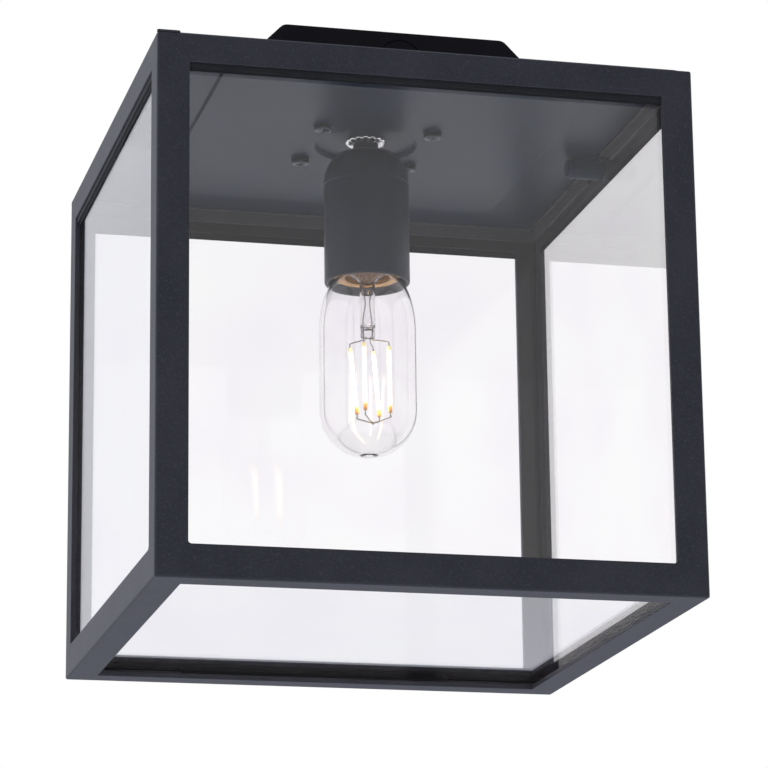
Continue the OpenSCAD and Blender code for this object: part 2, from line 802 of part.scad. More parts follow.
module catch_housing() {
    nose = catch_in + catch_end_r;
    color(pan_grey) translate([0, 0, z_catch]) difference() {
        union() {
            rotate([0, 90, 0]) rotate_extrude() polygon(concat(
                [[0, catch_in]], arc([catch_r - catch_end_r, nose], catch_end_r, catch_end_r, -90, 0, 8),
                [[catch_r, catch_out], [0, catch_out]]));
            block([catch_in + 3, -catch_pad_w / 2, 0], [catch_in + 3 + catch_pad_l, catch_pad_w / 2, catch_drop - pan_drop]);
        }
        translate([spring_end, 0, 0]) rotate([0, 90, 0])
            cylinder(r = catch_r - catch_wall, h = bolt_shoulder - spring_end);
        translate([spring_end, 0, 0]) rotate([0, 90, 0]) cylinder(r = bolt_bore_r, h = catch_l);
    }
}

module catch_bolt() {
    color(zinc) translate([0, 0, z_catch]) rotate([0, 90, 0]) rotate_extrude() polygon(concat(
        [[0, bolt_rear], [bolt_head_r, bolt_rear], [bolt_head_r, bolt_shoulder], [bolt_r, bolt_shoulder]],
        arc([0, bolt_tip - bolt_r], bolt_r, bolt_r, 0, 90, 10)));
}

// A real coil, drawn along X, that stops just short of the bolt's travel
module catch_spring() {
    facets = 6;
    rings = 8 * spring_turns;
    length = bolt_rear - bolt_travel - spring_slack - spring_end - 2 * spring_wire_r;
    step = length / rings;
    // Least distance between neighbouring turns, from surface to surface
    echo(spring_gap = length / spring_turns - 2 * spring_wire_r);
    function centre(i) = [spring_end + spring_wire_r + step * i, spring_r * cos(45 * i), spring_r * sin(45 * i)];
    points = [for (i = [0:rings], k = [0:facets - 1])
        let (a = 360 * k / facets, out = [0, cos(45 * i), sin(45 * i)])
            centre(i) + spring_wire_r * (cos(a) * out + sin(a) * [1, 0, 0])];
    skin = [for (i = [0:rings - 1], k = [0:facets - 1], half = [0, 1])
        let (a = i * facets + k, b = i * facets + (k + 1) % facets)
            half == 0 ? [a, b, b + facets] : [a, b + facets, a + facets]];
    ends = [
        [for (k = [0:facets - 1]) facets - 1 - k],
        [for (k = [0:facets - 1]) rings * facets + k]];
    color(zinc) translate([0, 0, z_catch]) polyhedron(points, concat(skin, ends));
}

module on_left() {
    mirror([1, 0, 0]) children();
}

module catch_housing_right() { catch_housing(); }
module catch_housing_left() { on_left() catch_housing(); }
module catch_bolt_right() { catch_bolt(); }
module catch_bolt_left() { on_left() catch_bolt(); }
module catch_spring_right() { catch_spring(); }
module catch_spring_left() { on_left() catch_spring(); }

// ---------------------------------------------------------------- lamp

// Half outline of the bulb's glass, drawn in by d from its outer face
function bulb_outline(d) = concat(
    [[neck_r - d, z_skirt]],
    arc([neck_r - d, z_shoulder], bulb_r - neck_r, shoulder_h - d, 90, 0, 16),
    arc([0, z_bulb_round], bulb_r - d, bulb_r - d, 0, -90, 20));

module bulb_glass() {
    inner = bulb_outline(bulb_t);
    color(glass_tint) rotate_extrude() polygon(concat(
        bulb_outline(0), [for (i = [len(inner) - 1:-1:0]) inner[i]]));
}

module bulb_cap() {
    out = waves(cap_r, z_thread, cap_turns, thread_depth, cap_pitch);
    root = cap_r - thread_depth - cap_t;
    skirt_r = cap_r;
    color(brass) rotate_extrude() polygon(concat(
        [[insulator_r, z_cap_top]], out,
        [[skirt_r, z_skirt], [skirt_r, z_cap_foot], [root, z_cap_foot], [root, z_thread],
        [insulator_r - cap_t, z_cap_top - cap_t]]));
}

module bulb_insulator() {
    color(rubber_black) rotate_extrude() polygon([[0, z_insulator], [contact_r, z_insulator],
        [insulator_r, z_cap_top], [insulator_r - cap_t, z_cap_top - cap_t], [0, z_cap_top - cap_t]]);
}

module bulb_contact() {
    color(zinc) translate([0, 0, z_insulator]) cylinder(r = contact_r, h = contact_h);
}

module bulb_stem() {
    flare_r = neck_r - bulb_t;
    flare_h = 5;
    color(glass_tint) {
        rotate_extrude() polygon([[stem_r, z_pinch], [stem_r, z_stem_top], [flare_r, z_stem_top + flare_h],
            [flare_r - stem_t, z_stem_top + flare_h], [stem_r - stem_t, z_stem_top], [stem_r - stem_t, z_pinch]]);
        block([-pinch_w / 2, -pinch_d / 2, z_lead], [pinch_w / 2, pinch_d / 2, z_pinch]);
    }
}

function filament_top(i) = [filament_tops[i][0], filament_tops[i][1], z_filament];
function filament_foot(i) =
    let (dx = filament_feet[i] - filament_tops[i], drop = sqrt(pow(filament_l, 2) - pow(norm(dx), 2)))
        [filament_feet[i][0], filament_feet[i][1], z_filament - drop];

module bulb_filaments() {
    color("#ffd27a") for (i = [0:3]) rod(filament_top(i), filament_foot(i), filament_d / 2);
}

module filament_wires() {
    knot = [2, 0, z_filament - filament_l - knot_drop];
    stub = [0, 0, 1.5];
    color(zinc) {
        for (i = [0:3]) {
            rod([filament_top(i)[0] * 0.25, 0, z_lead], filament_top(i) + stub, lead_r);
            rod(filament_top(i) + stub, filament_top(i), lead_r);
            rod(filament_foot(i), filament_foot(i) - stub, lead_r);
            rod(filament_foot(i) - stub, knot, lead_r);
            for (bend = [filament_top(i) + stub, filament_foot(i) - stub])
                translate(bend) sphere(r = 1.5 * lead_r, $fn = 24);
        }
        translate(knot) sphere(r = 2 * lead_r, $fn = 24);
    }
}

// ---------------------------------------------------------------- cage

// The four sides: front, right, rear and left are turns of 0, 90, 180 and 270 degrees
module top_rail(a, notched) {
    color(steel_black) rotate(a) difference() {
        union() {
            translate([0, 0, z_cage_top - angle_t]) linear_extrude(angle_t)
                polygon([[-cage_half, -cage_half], [cage_half, -cage_half], [flange_in, -flange_in], [-flange_in, -flange_in]]);
            block([-post_in, -cage_half, z_cage_top - top_face], [post_in, -wall_in, z_cage_top - angle_t]);
        }
        if (notched) {
            block([-catch_notch, -wall_in, z_cage_top - angle_t - cut], [catch_notch, cut - flange_in, z_cage_top + cut]);
            // Dimple that the catch's bolt rests in
            translate([0, cut - wall_in, z_catch]) rotate([90, 0, 0]) cylinder(r = bolt_r, h = cut + bolt_in);
        }
    }
}

module bottom_rail(a) {
    in = cage_half - bottom_flange;
    color(steel_black) rotate(a) {
        translate([0, 0, z_cage_bottom]) linear_extrude(angle_t)
            polygon([[-cage_half, -cage_half], [cage_half, -cage_half], [in, -in], [-in, -in]]);
        block([-post_in, -cage_half, z_cage_bottom + angle_t], [post_in, -wall_in, z_cage_bottom + bottom_face]);
    }
}

// A corner post, drawn at the front left and turned to its corner
module corner_post(a) {
    r = post_edge_r;
    color(steel_black) rotate(a) translate([-cage_half, -cage_half, z_cage_bottom + angle_t])
        linear_extrude(cage_h - 2 * angle_t) {
            translate([r, r]) circle(r = r);
            translate([r, 0]) square([post_leg - r, angle_t]);
            translate([0, r]) square([angle_t, post_leg - r]);
        }
}

// A side pane; half is its half width, and a notched pane clears the catch
module side_pane(a, half, notched) {
    color(glass_tint) rotate(a) difference() {
        block([-half, -wall_in, z_floor_top], [half, -pane_in, z_pane_top]);
        if (notched) {
            translate([0, cut - pane_in, z_catch]) rotate([90, 0, 0]) cylinder(r = catch_notch, h = pane_t + 2 * cut);
            block([-catch_notch, -wall_in - cut, z_catch], [catch_notch, cut - pane_in, z_pane_top + cut]);
        }
    }
}

module glazing_seals() {
    color(rubber_black) for (a = [0:90:270])
        rotate(a) {
            block([-post_in, -wall_in - seal_t, z_cage_top - top_face - seal_h],
                [post_in, -wall_in, z_cage_top - top_face]);
            block([-post_in, -wall_in - lip_t, z_cage_top - top_face - seal_h - lip_h],
                [post_in, -wall_in, z_cage_top - top_face - seal_h]);
        }
}

// One bead per side; the left and right beads leave a gap for the catch
module glazing_beads() {
    z1 = z_cage_top - angle_t;
    z0 = z1 - bead_h;
    bead_in = pane_in - bead_t;
    color(steel_black) {
        for (a = [0, 180]) rotate(a) block([-pane_in, -pane_in, z0], [pane_in, -bead_in, z1]);
        for (a = [90, 270], s = [0, 1])
            rotate(a) mirror([s, 0, 0])
                block([bead_gap / 2, -pane_in, z0], [bead_in - seat_gap, -bead_in, z1]);
    }
}

module floor_pads() {
    color(rubber_black) for (a = [0:90:270])
        rotate(a) block([-pad_l / 2, -wall_in, z_cage_bottom + angle_t], [pad_l / 2, pad_w - wall_in, z_floor_under]);
}

module floor_pane() {
    half = wall_in - glass_gap;
    color(glass_tint) block([-half, -half, z_floor_under], [half, half, z_floor_top]);
}

module top_rail_front() { top_rail(0, false); }
module top_rail_right() { top_rail(90, true); }
module top_rail_rear() { top_rail(180, false); }
module top_rail_left() {
    top_rail(270, true);
    // The rail's end laps over the front corner, clear of the pan's rim
    color(steel_black) block([-cage_half, -cage_half, z_cage_top],
        [lap_l - cage_half, -flange_in - pan_lap - pan_gap, z_cage_top + lap_h]);
}
module bottom_rail_front() { bottom_rail(0); }
module bottom_rail_right() { bottom_rail(90); }
module bottom_rail_rear() { bottom_rail(180); }
module bottom_rail_left() { bottom_rail(270); }
module corner_post_front_left() { corner_post(0); }
module corner_post_front_right() { corner_post(90); }
module corner_post_rear_right() { corner_post(180); }
module corner_post_rear_left() { corner_post(270); }
module front_pane() { side_pane(0, wall_in - glass_gap, false); }
module rear_pane() { side_pane(180, wall_in - glass_gap, false); }
module right_pane() { side_pane(90, pane_in - glass_gap, true); }
module left_pane() { side_pane(270, pane_in - glass_gap, true); }

// ---------------------------------------------------------------- the assembly

ceiling_bracket();
cable_grommet();
side_screws();
base_channel();
terminal_block();
terminal_screws();
earth_screw();
earth_lug();
ceiling_pan();
pan_screws();
pan_washers();
pan_nuts();
threaded_tube();
tube_nut();
stiffening_disc();
toothed_ring();
holder_dome();
holder_sleeve();
holder_core();
screw_shell();
centre_contact();
contact_screws();
live_wire();
neutral_wire();
earth_wire();
catch_housing_left();
catch_housing_right();
catch_spring_left();
catch_spring_right();
catch_bolt_left();
catch_bolt_right();
bulb_glass();
bulb_cap();
bulb_insulator();
bulb_contact();
bulb_stem();
bulb_filaments();
filament_wires();
top_rail_front();
top_rail_rear();
top_rail_left();
top_rail_right();
bottom_rail_front();
bottom_rail_rear();
bottom_rail_left();
bottom_rail_right();
corner_post_front_left();
corner_post_front_right();
corner_post_rear_left();
corner_post_rear_right();
front_pane();
rear_pane();
left_pane();
right_pane();
floor_pane();
glazing_seals();
glazing_beads();
floor_pads();
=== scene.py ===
"""Looks of a porch ceiling lantern: a glazed black steel cage below a painted pan, with one clear lamp.

Sizes are written in millimetres, in the frame of the CAD model: the origin is the middle of the
face against the ceiling, +Z is up and the front is -Y. Meshes are stored in metres.
"""

from __future__ import annotations

import json
import logging
import math
from dataclasses import dataclass, field
from enum import Enum
from typing import Any, Sequence

import bmesh
import bpy
import numpy as np
from mathutils import Matrix, Vector

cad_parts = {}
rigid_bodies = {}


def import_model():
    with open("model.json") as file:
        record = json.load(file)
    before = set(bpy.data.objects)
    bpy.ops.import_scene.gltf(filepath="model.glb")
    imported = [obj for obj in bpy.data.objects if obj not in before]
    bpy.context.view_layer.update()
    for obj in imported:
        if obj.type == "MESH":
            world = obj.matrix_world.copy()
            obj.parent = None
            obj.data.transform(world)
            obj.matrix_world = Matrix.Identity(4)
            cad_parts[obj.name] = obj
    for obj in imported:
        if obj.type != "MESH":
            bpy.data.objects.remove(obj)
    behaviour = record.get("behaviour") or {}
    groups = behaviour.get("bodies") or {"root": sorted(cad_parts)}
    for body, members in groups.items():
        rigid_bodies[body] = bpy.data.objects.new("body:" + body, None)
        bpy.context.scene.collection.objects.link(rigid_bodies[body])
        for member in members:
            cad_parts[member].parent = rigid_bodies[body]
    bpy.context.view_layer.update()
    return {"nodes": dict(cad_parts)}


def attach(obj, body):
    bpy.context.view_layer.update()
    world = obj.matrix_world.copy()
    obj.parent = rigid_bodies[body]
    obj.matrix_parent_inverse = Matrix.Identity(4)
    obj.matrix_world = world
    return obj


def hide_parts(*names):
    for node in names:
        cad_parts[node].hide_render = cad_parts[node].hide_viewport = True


log = logging.getLogger("lantern")

Array = np.ndarray
MM = 0.001
QUARTER = math.pi / 2
FULL = 2 * math.pi
SHARP_ANGLE = math.radians(38)
MERGE_MM = 2e-5
FLAT_WEIGHT = 90
SHARP = 0.02  # radius in mm of a corner that looks sharp; an arc needs one above 0


# ------------------------------------------------------------------ surfaces


@dataclass
class Surface:
    """Points in millimetres and faces as lists of point numbers."""

    points: Array
    faces: list[list[int]]
    marks: dict[str, Array] = field(default_factory=dict)

    def moved(self, offset: Sequence[float]) -> Surface:
        """The surface shifted by offset."""
        return Surface(self.points + np.asarray(offset, float), self.faces, self.marks)

    def turned(self, quarters: int) -> Surface:
        """The surface turned about Z, to x cos a - y sin a and x sin a + y cos a.

        Args:
            quarters: quarter turns, anticlockwise from above.

        Returns:
            A new surface.
        """
        cos, sin = round(math.cos(quarters * QUARTER)), round(math.sin(quarters * QUARTER))
        turn = np.array([[cos, sin, 0], [-sin, cos, 0], [0, 0, 1]], float)
        return Surface(self.points @ turn, self.faces, self.marks)

    def mapped(self, axes: Sequence[Sequence[float]]) -> Surface:
        """The surface with its own X, Y and Z laid along three other directions."""
        return Surface(self.points @ np.asarray(axes, float), self.faces, self.marks)


def joined(parts: Sequence[Surface]) -> Surface:
    """Several surfaces as one.

    Args:
        parts: the surfaces.

    Returns:
        Their points and faces in order; a mark that some of them lack is 0 there.
    """
    starts = np.cumsum([0] + [len(p.points) for p in parts])
    faces = [[int(start) + i for i in face] for p, start in zip(parts, starts) for face in p.faces]
    names = {name for p in parts for name in p.marks}
    marks = {
        name: np.concatenate([p.marks.get(name, np.zeros(len(p.points))) for p in parts]) for name in names
    }
    return Surface(np.concatenate([p.points for p in parts]), faces, marks)


def loft(rings: Array, caps: bool = True, wrap: bool = False) -> Surface:
    """A skin over closed rings of equal length.

    Args:
        rings: points (ring, place on the ring, 3).
        caps: close the first and the last ring with a face each.
        wrap: join the last ring to the first, as on a tyre.

    Returns:
        A surface whose quad (i, j) has the corners (i, j), (i, j+1), (i+1, j+1), (i+1, j).
    """
    count, size = rings.shape[:2]
    i = np.arange(count if wrap else count - 1)[:, None]
    j = np.arange(size)[None, :]
    across, up = (j + 1) % size, (i + 1) % count
    quads = np.stack([i * size + j, i * size + across, up * size + across, up * size + j], -1)
    faces = quads.reshape(-1, 4).tolist()
    if caps and not wrap:
        faces.append(list(range(size - 1, -1, -1)))
        faces.append(list(range((count - 1) * size, count * size)))
    return Surface(rings.reshape(-1, 3), faces)


def unit(vectors: Array) -> Array:
    """Each row of vectors brought to length 1."""
    return vectors / np.linalg.norm(vectors, axis=-1, keepdims=True)


def rounded(corners: Sequence[Sequence[float]], radii: Sequence[float] | float, steps: int = 4) -> Array:
    """A closed outline with an arc at each corner.

    An arc of radius r at a corner of turn t starts r tan(t/2) before it, and its centre lies
    r to the side that the outline turns to.

    Args:
        corners: the outline's corners, anticlockwise.
        radii: one radius for each corner, or one for all.
        steps: sides of each arc.

    Returns:
        Points (corners x (steps + 1), 2).
    """
    at = np.asarray(corners, float)
    radius = np.broadcast_to(np.asarray(radii, float), len(at))[:, None]
    before = unit(at - np.roll(at, 1, 0))
    after = np.roll(before, -1, 0)
    cross = before[:, 0] * after[:, 1] - before[:, 1] * after[:, 0]
    turn = np.arctan2(cross, np.sum(before * after, 1))[:, None]
    side = np.stack([-before[:, 1], before[:, 0]], 1) * np.sign(turn)
    centre = at - before * np.abs(radius * np.tan(turn / 2)) + side * radius
    spoke = -side * radius
    angle = turn * np.linspace(0, 1, steps + 1)[None, :]
    cos, sin = np.cos(angle), np.sin(angle)
    x = centre[:, :1] + spoke[:, :1] * cos - spoke[:, 1:] * sin
    y = centre[:, 1:] + spoke[:, :1] * sin + spoke[:, 1:] * cos
    return np.stack([x, y], -1).reshape(-1, 2)


def inset(ring: Array, depth: float) -> Array:
    """An outline drawn in: each point moves by (m + n) depth / (1 + m.n), m and n its sides' normals.

    Args:
        ring: the outline, anticlockwise.
        depth: how far in.

    Returns:
        The inner outline, point for point.
    """
    side = unit(np.roll(ring, -1, 0) - ring)
    normal = np.stack([-side[:, 1], side[:, 0]], 1)
    both = normal + np.roll(normal, 1, 0)
    return ring + 2 * depth * both / np.sum(both * both, 1, keepdims=True)


def slab(ring: Array, low: float, high: float, edge: float, steps: int = 3) -> Surface:
    """A plate with quarter circles for edges: at angle a, e (1 - sin a) in and e (1 - cos a) from its face.

    Args:
        ring: its outline.
        low: level of its underside.
        high: level of its top.
        edge: radius e of its edges.
        steps: sides of each quarter circle.

    Returns:
        The closed plate.
    """
    angle = np.linspace(0, QUARTER, steps + 1)
    depth, rise = edge * (1 - np.sin(angle)), edge * (1 - np.cos(angle))
    depths = np.concatenate([depth, depth[::-1]])
    levels = np.concatenate([low + rise, high - rise[::-1]])
    return loft(np.stack([np.column_stack([inset(ring, d), np.full(len(ring), z)]) for d, z in zip(depths, levels)]))


def bar(low: Sequence[float], high: Sequence[float], edge: float, corner: float = 0.0) -> Surface:
    """A block with rounded edges.

    Args:
        low: its least X, Y and Z.
        high: its greatest X, Y and Z.
        edge: radius of its edges.
        corner: radius of its upright edges, raised to 1.3 times edge where it is less.

    Returns:
        The closed block.
    """
    (x0, y0, z0), (x1, y1, z1) = low, high
    plan = rounded([(x0, y0), (x1, y0), (x1, y1), (x0, y1)], max(corner, edge * 1.3))
    return slab(plan, z0, z1, edge)


def spun(profile: Array, steps: int = 64, wrap: bool = False, wave: tuple[Array, float] | None = None) -> Surface:
    """A profile of radii and levels turned about Z.

    With a wave, the radius is r + a cos(2 pi z / p - angle), a thread of pitch p and half depth a.

    Args:
        profile: points (k, 2) of radius and level.
        steps: sides round the axis.
        wrap: the profile is a closed outline that stays off the axis.
        wave: half depth at each profile point, and pitch.

    Returns:
        The turned surface; it closes where the profile wraps or ends on the axis.
    """
    angle = np.linspace(0, FULL, steps, endpoint=False)[None, :]
    radius, level = profile[:, :1], profile[:, 1:]
    if wave is not None:
        radius = radius + wave[0][:, None] * np.cos(FULL * level / wave[1] - angle)
    radius = radius + 0 * angle
    rings = np.stack([radius * np.cos(angle), radius * np.sin(angle), level + 0 * angle], -1)
    return loft(rings, caps=False, wrap=wrap)


def arc(centre: Sequence[float], radius: float | Sequence[float], start: float, end: float, steps: int = 8) -> Array:
    """Points of a circle's or ellipse's arc between two angles in degrees."""
    angle = np.radians(np.linspace(start, end, steps + 1))
    return np.asarray(centre, float) + np.stack([np.cos(angle), np.sin(angle)], 1) * np.asarray(radius, float)


def drawn(*parts: Any) -> Array:
    """One profile out of points and arcs, in order."""
    return np.concatenate([np.atleast_2d(np.asarray(p, float)) for p in parts])


def tube(path: Array, radius: float | Array, reference: Sequence[float], sides: int = 12) -> Surface:
    """A round rod along a path.

    Each ring stands square to the path's tangent t, on the directions n = t x reference and t x n.

    Args:
        path: points (k, 3) along its middle.
        radius: one radius, or one for each point.
        reference: a direction that the path never runs along.
        sides: sides of the rod.

    Returns:
        The closed rod, marked with the share of its length, 'along', and of its girth, 'around'.
    """
    tangent = unit(np.gradient(path, axis=0))
    across = unit(np.cross(tangent, np.asarray(reference, float)))
    other = np.cross(tangent, across)
    angle = np.linspace(0, FULL, sides, endpoint=False)
    size = np.broadcast_to(np.asarray(radius, float), len(path))[:, None, None]
    around = np.cos(angle)[None, :, None] * across[:, None] + np.sin(angle)[None, :, None] * other[:, None]
    skin = loft(path[:, None] + size * around)
    length = np.concatenate([[0], np.cumsum(np.linalg.norm(np.diff(path, axis=0), axis=1))])
    skin.marks["along"] = np.repeat(length / length[-1], sides)
    skin.marks["around"] = np.tile(angle / FULL, len(path))
    return skin


def blunt(start: Sequence[float], end: Sequence[float], radius: float, sides: int = 20) -> Surface:
    """A straight rod with round ends: at d from an end, up to r, its radius is r sqrt(1 - (1 - d/r)^2).

    Args:
        start: one end.
        end: the other end.
        radius: the rod's radius r.
        sides: its sides.

    Returns:
        The closed rod.
    """
    p, q = np.asarray(start, float), np.asarray(end, float)
    length = float(np.linalg.norm(q - p))
    cap = radius * (1 - np.cos(np.linspace(0.12, QUARTER, 7)))
    way = np.concatenate([cap, np.linspace(radius, length - radius, 24)[1:-1], length - cap[::-1]])
    short = np.minimum(1, np.minimum(way, length - way) / radius)
    path = p + (q - p) * (way / length)[:, None]
    return tube(path, radius * np.sqrt(np.maximum(1e-4, 1 - (1 - short) ** 2)), (0, 1, 0.01), sides)


def routed(points: Sequence[Sequence[float]], steps: int = 10) -> Array:
    """A smooth path through points: from b to c, with a before them and d after, half of
    2b + (c - a) t + (2a - 5b + 4c - d) t^2 + (3b - a - 3c + d) t^3 for t from 0 to 1.

    Args:
        points: the points that it runs through.
        steps: points on each span.

    Returns:
        Points (k, 3).
    """
    p = np.asarray(points, float)
    a, b, c, d = (p[np.clip(np.arange(len(p) - 1) + k, 0, len(p) - 1)][:, None] for k in (-1, 0, 1, 2))
    t = np.linspace(0, 1, steps, endpoint=False)[None, :, None]
    curve = 0.5 * (2 * b + (c - a) * t + (2 * a - 5 * b + 4 * c - d) * t**2 + (3 * b - a - 3 * c + d) * t**3)
    return np.concatenate([curve.reshape(-1, 3), p[-1:]])


# ------------------------------------------------------------------ pieces


def make_piece(
    name: str, surface: Surface, finish: bpy.types.Material, body: str, replaces: str = ""
) -> bpy.types.Object:
    """Turns a surface into an object of the lantern.

    Args:
        name: the object's name.
        surface: its points in millimetres and its faces.
        finish: its material.
        body: the CAD body that it rides on.
        replaces: the CAD node that it stands for, if any.

    Returns:
        The object, which sits at the origin with its place in its mesh.
    """
    mesh = bpy.data.meshes.new(name)
    mesh.from_pydata((surface.points * MM).tolist(), [], surface.faces)
    for mark, values in surface.marks.items():
        mesh.attributes.new(mark, "FLOAT", "POINT").data.foreach_set("value", values.astype(np.float32))
    shape = bmesh.new()
    shape.from_mesh(mesh)
    bmesh.ops.remove_doubles(shape, verts=shape.verts, dist=MERGE_MM * MM)
    bmesh.ops.dissolve_degenerate(shape, dist=MERGE_MM * MM, edges=shape.edges)
    bmesh.ops.recalc_face_normals(shape, faces=shape.faces)
    shape.to_mesh(mesh)
    open_edges = sum(1 for e in shape.edges if not e.is_manifold)
    shape.free()
    mesh.shade_smooth()
    mesh.set_sharp_from_angle(angle=SHARP_ANGLE)
    mesh.materials.append(finish)
    piece = bpy.data.objects.new(name, mesh)
    # Flat faces stay flat beside their rounded edges: each corner's normal leans to its widest face
    flatten = piece.modifiers.new("flat_faces", "WEIGHTED_NORMAL")
    flatten.weight, flatten.keep_sharp = FLAT_WEIGHT, True
    bpy.context.scene.collection.objects.link(piece)
    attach(piece, body)
    if replaces:
        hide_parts(replaces)
    log.info("%s: %d faces on %s%s", name, len(mesh.polygons), body, f", {open_edges} open edges" if open_edges else "")
    return piece


def dress(nodes: dict[str, bpy.types.Object], finish: bpy.types.Material, names: Sequence[str]) -> None:
    """Gives CAD nodes that keep their own shape a finish.

    Args:
        nodes: the frame's CAD nodes by name.
        finish: the material.
        names: the nodes that get it.
    """
    for name in names:
        node = nodes[name]
        if not node.material_slots:
            node.data.materials.append(finish)
        for slot in node.material_slots:
            slot.material = finish
        log.info("%s: CAD shape, %s", name, finish.name)


# ------------------------------------------------------------------ finishes


class Grain(Enum):
    """How a surface's fine texture runs."""

    PEEL = "peel"
    BRUSHED = "brushed"
    MOULDED = "moulded"
    SPECKLED = "speckled"


def linear(colour: str) -> tuple[float, float, float, float]:
    """An sRGB hex colour as linear light: c/12.92 up to 0.04045, else ((c + 0.055)/1.055)^2.4.

    Args:
        colour: the colour, with its hash sign.

    Returns:
        Red, green and blue, and an alpha of 1.
    """
    parts = [int(colour[i : i + 2], 16) / 255 for i in (1, 3, 5)]
    light = [c / 12.92 if c <= 0.04045 else ((c + 0.055) / 1.055) ** 2.4 for c in parts]
    return light[0], light[1], light[2], 1.0


def put(
    tree: bpy.types.NodeTree,
    kind: str,
    sockets: dict[Any, Any] | None = None,
    stops: Sequence[tuple[float, tuple[float, ...]]] = (),
    **settings: Any,
) -> bpy.types.Node:
    """Adds a node.

    Args:
        tree: the node tree.
        kind: the node's type.
        sockets: for an input's name or number, a value, or the output that feeds it.
        stops: the places and linear colours of a ramp, in order.
        settings: the node's own settings.

    Returns:
        The new node.
    """
    node = tree.nodes.new(kind)
    for name, value in settings.items():
        setattr(node, name, value)
    for key, value in (sockets or {}).items():
        if isinstance(value, bpy.types.NodeSocket):
            tree.links.new(value, node.inputs[key])
        else:
            node.inputs[key].default_value = value
    for number, (place, colour) in enumerate((*stops[:1], *stops[-1:])):
        end = node.color_ramp.elements[number]
        end.position, end.color = place, colour
    for place, colour in stops[1:-1]:
        node.color_ramp.elements.new(place).color = colour
    return node


def blank(name: str) -> tuple[bpy.types.Material, bpy.types.NodeTree]:
    """A new material with an empty node tree.

    Args:
        name: the material's name.

    Returns:
        The material and its tree.
    """
    material = bpy.data.materials.new(name)
    material.use_nodes = True
    material.node_tree.nodes.clear()
    return material, material.node_tree


@dataclass(frozen=True)
class Coat:
    """An opaque finish: two close colours in soft patches, and a fine texture of a real size.

    Attributes:
        name: what the surface is and how it was made.
        colour: its sRGB colour.
        patch: the second colour.
        rough: mean roughness.
        grain: how the fine texture runs.
        grain_mm: width of the fine texture.
        depth_mm: its height.
        patch_mm: width of the patches.
        rough_swing: how far the roughness swings over the grain.
        metallic: 1 for bare metal, less where a film scatters part of the light, 0 for the rest.
        ior: index of refraction.
        coat: weight of a clear coat.
        coat_rough: roughness of the clear coat.
        speck: colour of fine specks, if any.
        gloss: tint of its mirror-like part, for a coat that reflects slightly blue.
        shine: strength of its mirror-like part, 0.5 for an ordinary one.
        stretch: how much longer the grain is along X, Y and Z.
    """

    name: str
    colour: str
    patch: str
    rough: float
    grain: Grain
    grain_mm: float
    depth_mm: float
    patch_mm: float = 22.0
    rough_swing: float = 0.08
    metallic: float = 0.0
    ior: float = 1.5
    coat: float = 0.0
    coat_rough: float = 0.1
    speck: str = ""
    gloss: str = "#ffffff"
    shine: float = 0.5
    stretch: tuple[float, float, float] = (1.0, 1.0, 1.0)

    def material(self) -> bpy.types.Material:
        """Builds the node material: noise mixes the two colours, and a finer one sets roughness and height.

        Returns:
            The material.
        """
        made, tree = blank(self.name)
        place = put(tree, "ShaderNodeTexCoord").outputs["Object"]
        laid = put(tree, "ShaderNodeMapping", {"Vector": place, "Scale": tuple(1 / s for s in self.stretch)})
        fine = put(
            tree,
            "ShaderNodeTexNoise",
            {"Vector": laid.outputs[0], "Scale": 1 / (self.grain_mm * MM), "Detail": 3.0, "Roughness": 0.6},
        ).outputs["Fac"]
        wide = put(
            tree, "ShaderNodeTexNoise", {"Vector": place, "Scale": 1 / (self.patch_mm * MM), "Detail": 2.0}
        ).outputs["Fac"]
        tone = put(
            tree, "ShaderNodeValToRGB", {"Fac": wide}, [(0.3, linear(self.colour)), (0.7, linear(self.patch))]
        ).outputs["Color"]
        height = fine
        if self.grain in (Grain.PEEL, Grain.SPECKLED):
            cells = put(
                tree, "ShaderNodeTexVoronoi", {"Vector": place, "Scale": 1 / (self.grain_mm * 1.7 * MM)}
            ).outputs["Distance"]
            height = put(tree, "ShaderNodeMath", {0: fine, 1: cells}, operation="ADD").outputs[0]
        if self.speck:
            spot = put(
                tree, "ShaderNodeMapRange", {"Value": fine, "From Min": 0.55, "From Max": 0.66}
            ).outputs["Result"]
            tone = put(
                tree, "ShaderNodeMix", {"Factor": spot, "A": tone, "B": linear(self.speck)}, data_type="RGBA"
            ).outputs["Result"]
        rough = put(
            tree,
            "ShaderNodeMapRange",
            {"Value": fine, "From Min": 0.3, "From Max": 0.7, "To Min": self.rough - self.rough_swing,
             "To Max": self.rough + self.rough_swing},
        ).outputs["Result"]
        bump = put(
            tree, "ShaderNodeBump", {"Height": height, "Strength": 1.0, "Distance": self.depth_mm * MM}
        ).outputs["Normal"]
        shader = put(
            tree,
            "ShaderNodeBsdfPrincipled",
            {"Base Color": tone, "Roughness": rough, "Normal": bump, "Metallic": self.metallic,
             "IOR": self.ior, "Coat Weight": self.coat, "Coat Roughness": self.coat_rough,
             "Specular Tint": linear(self.gloss), "Specular IOR Level": self.shine},
        )
        put(tree, "ShaderNodeOutputMaterial", {"Surface": shader.outputs[0]})
        return made


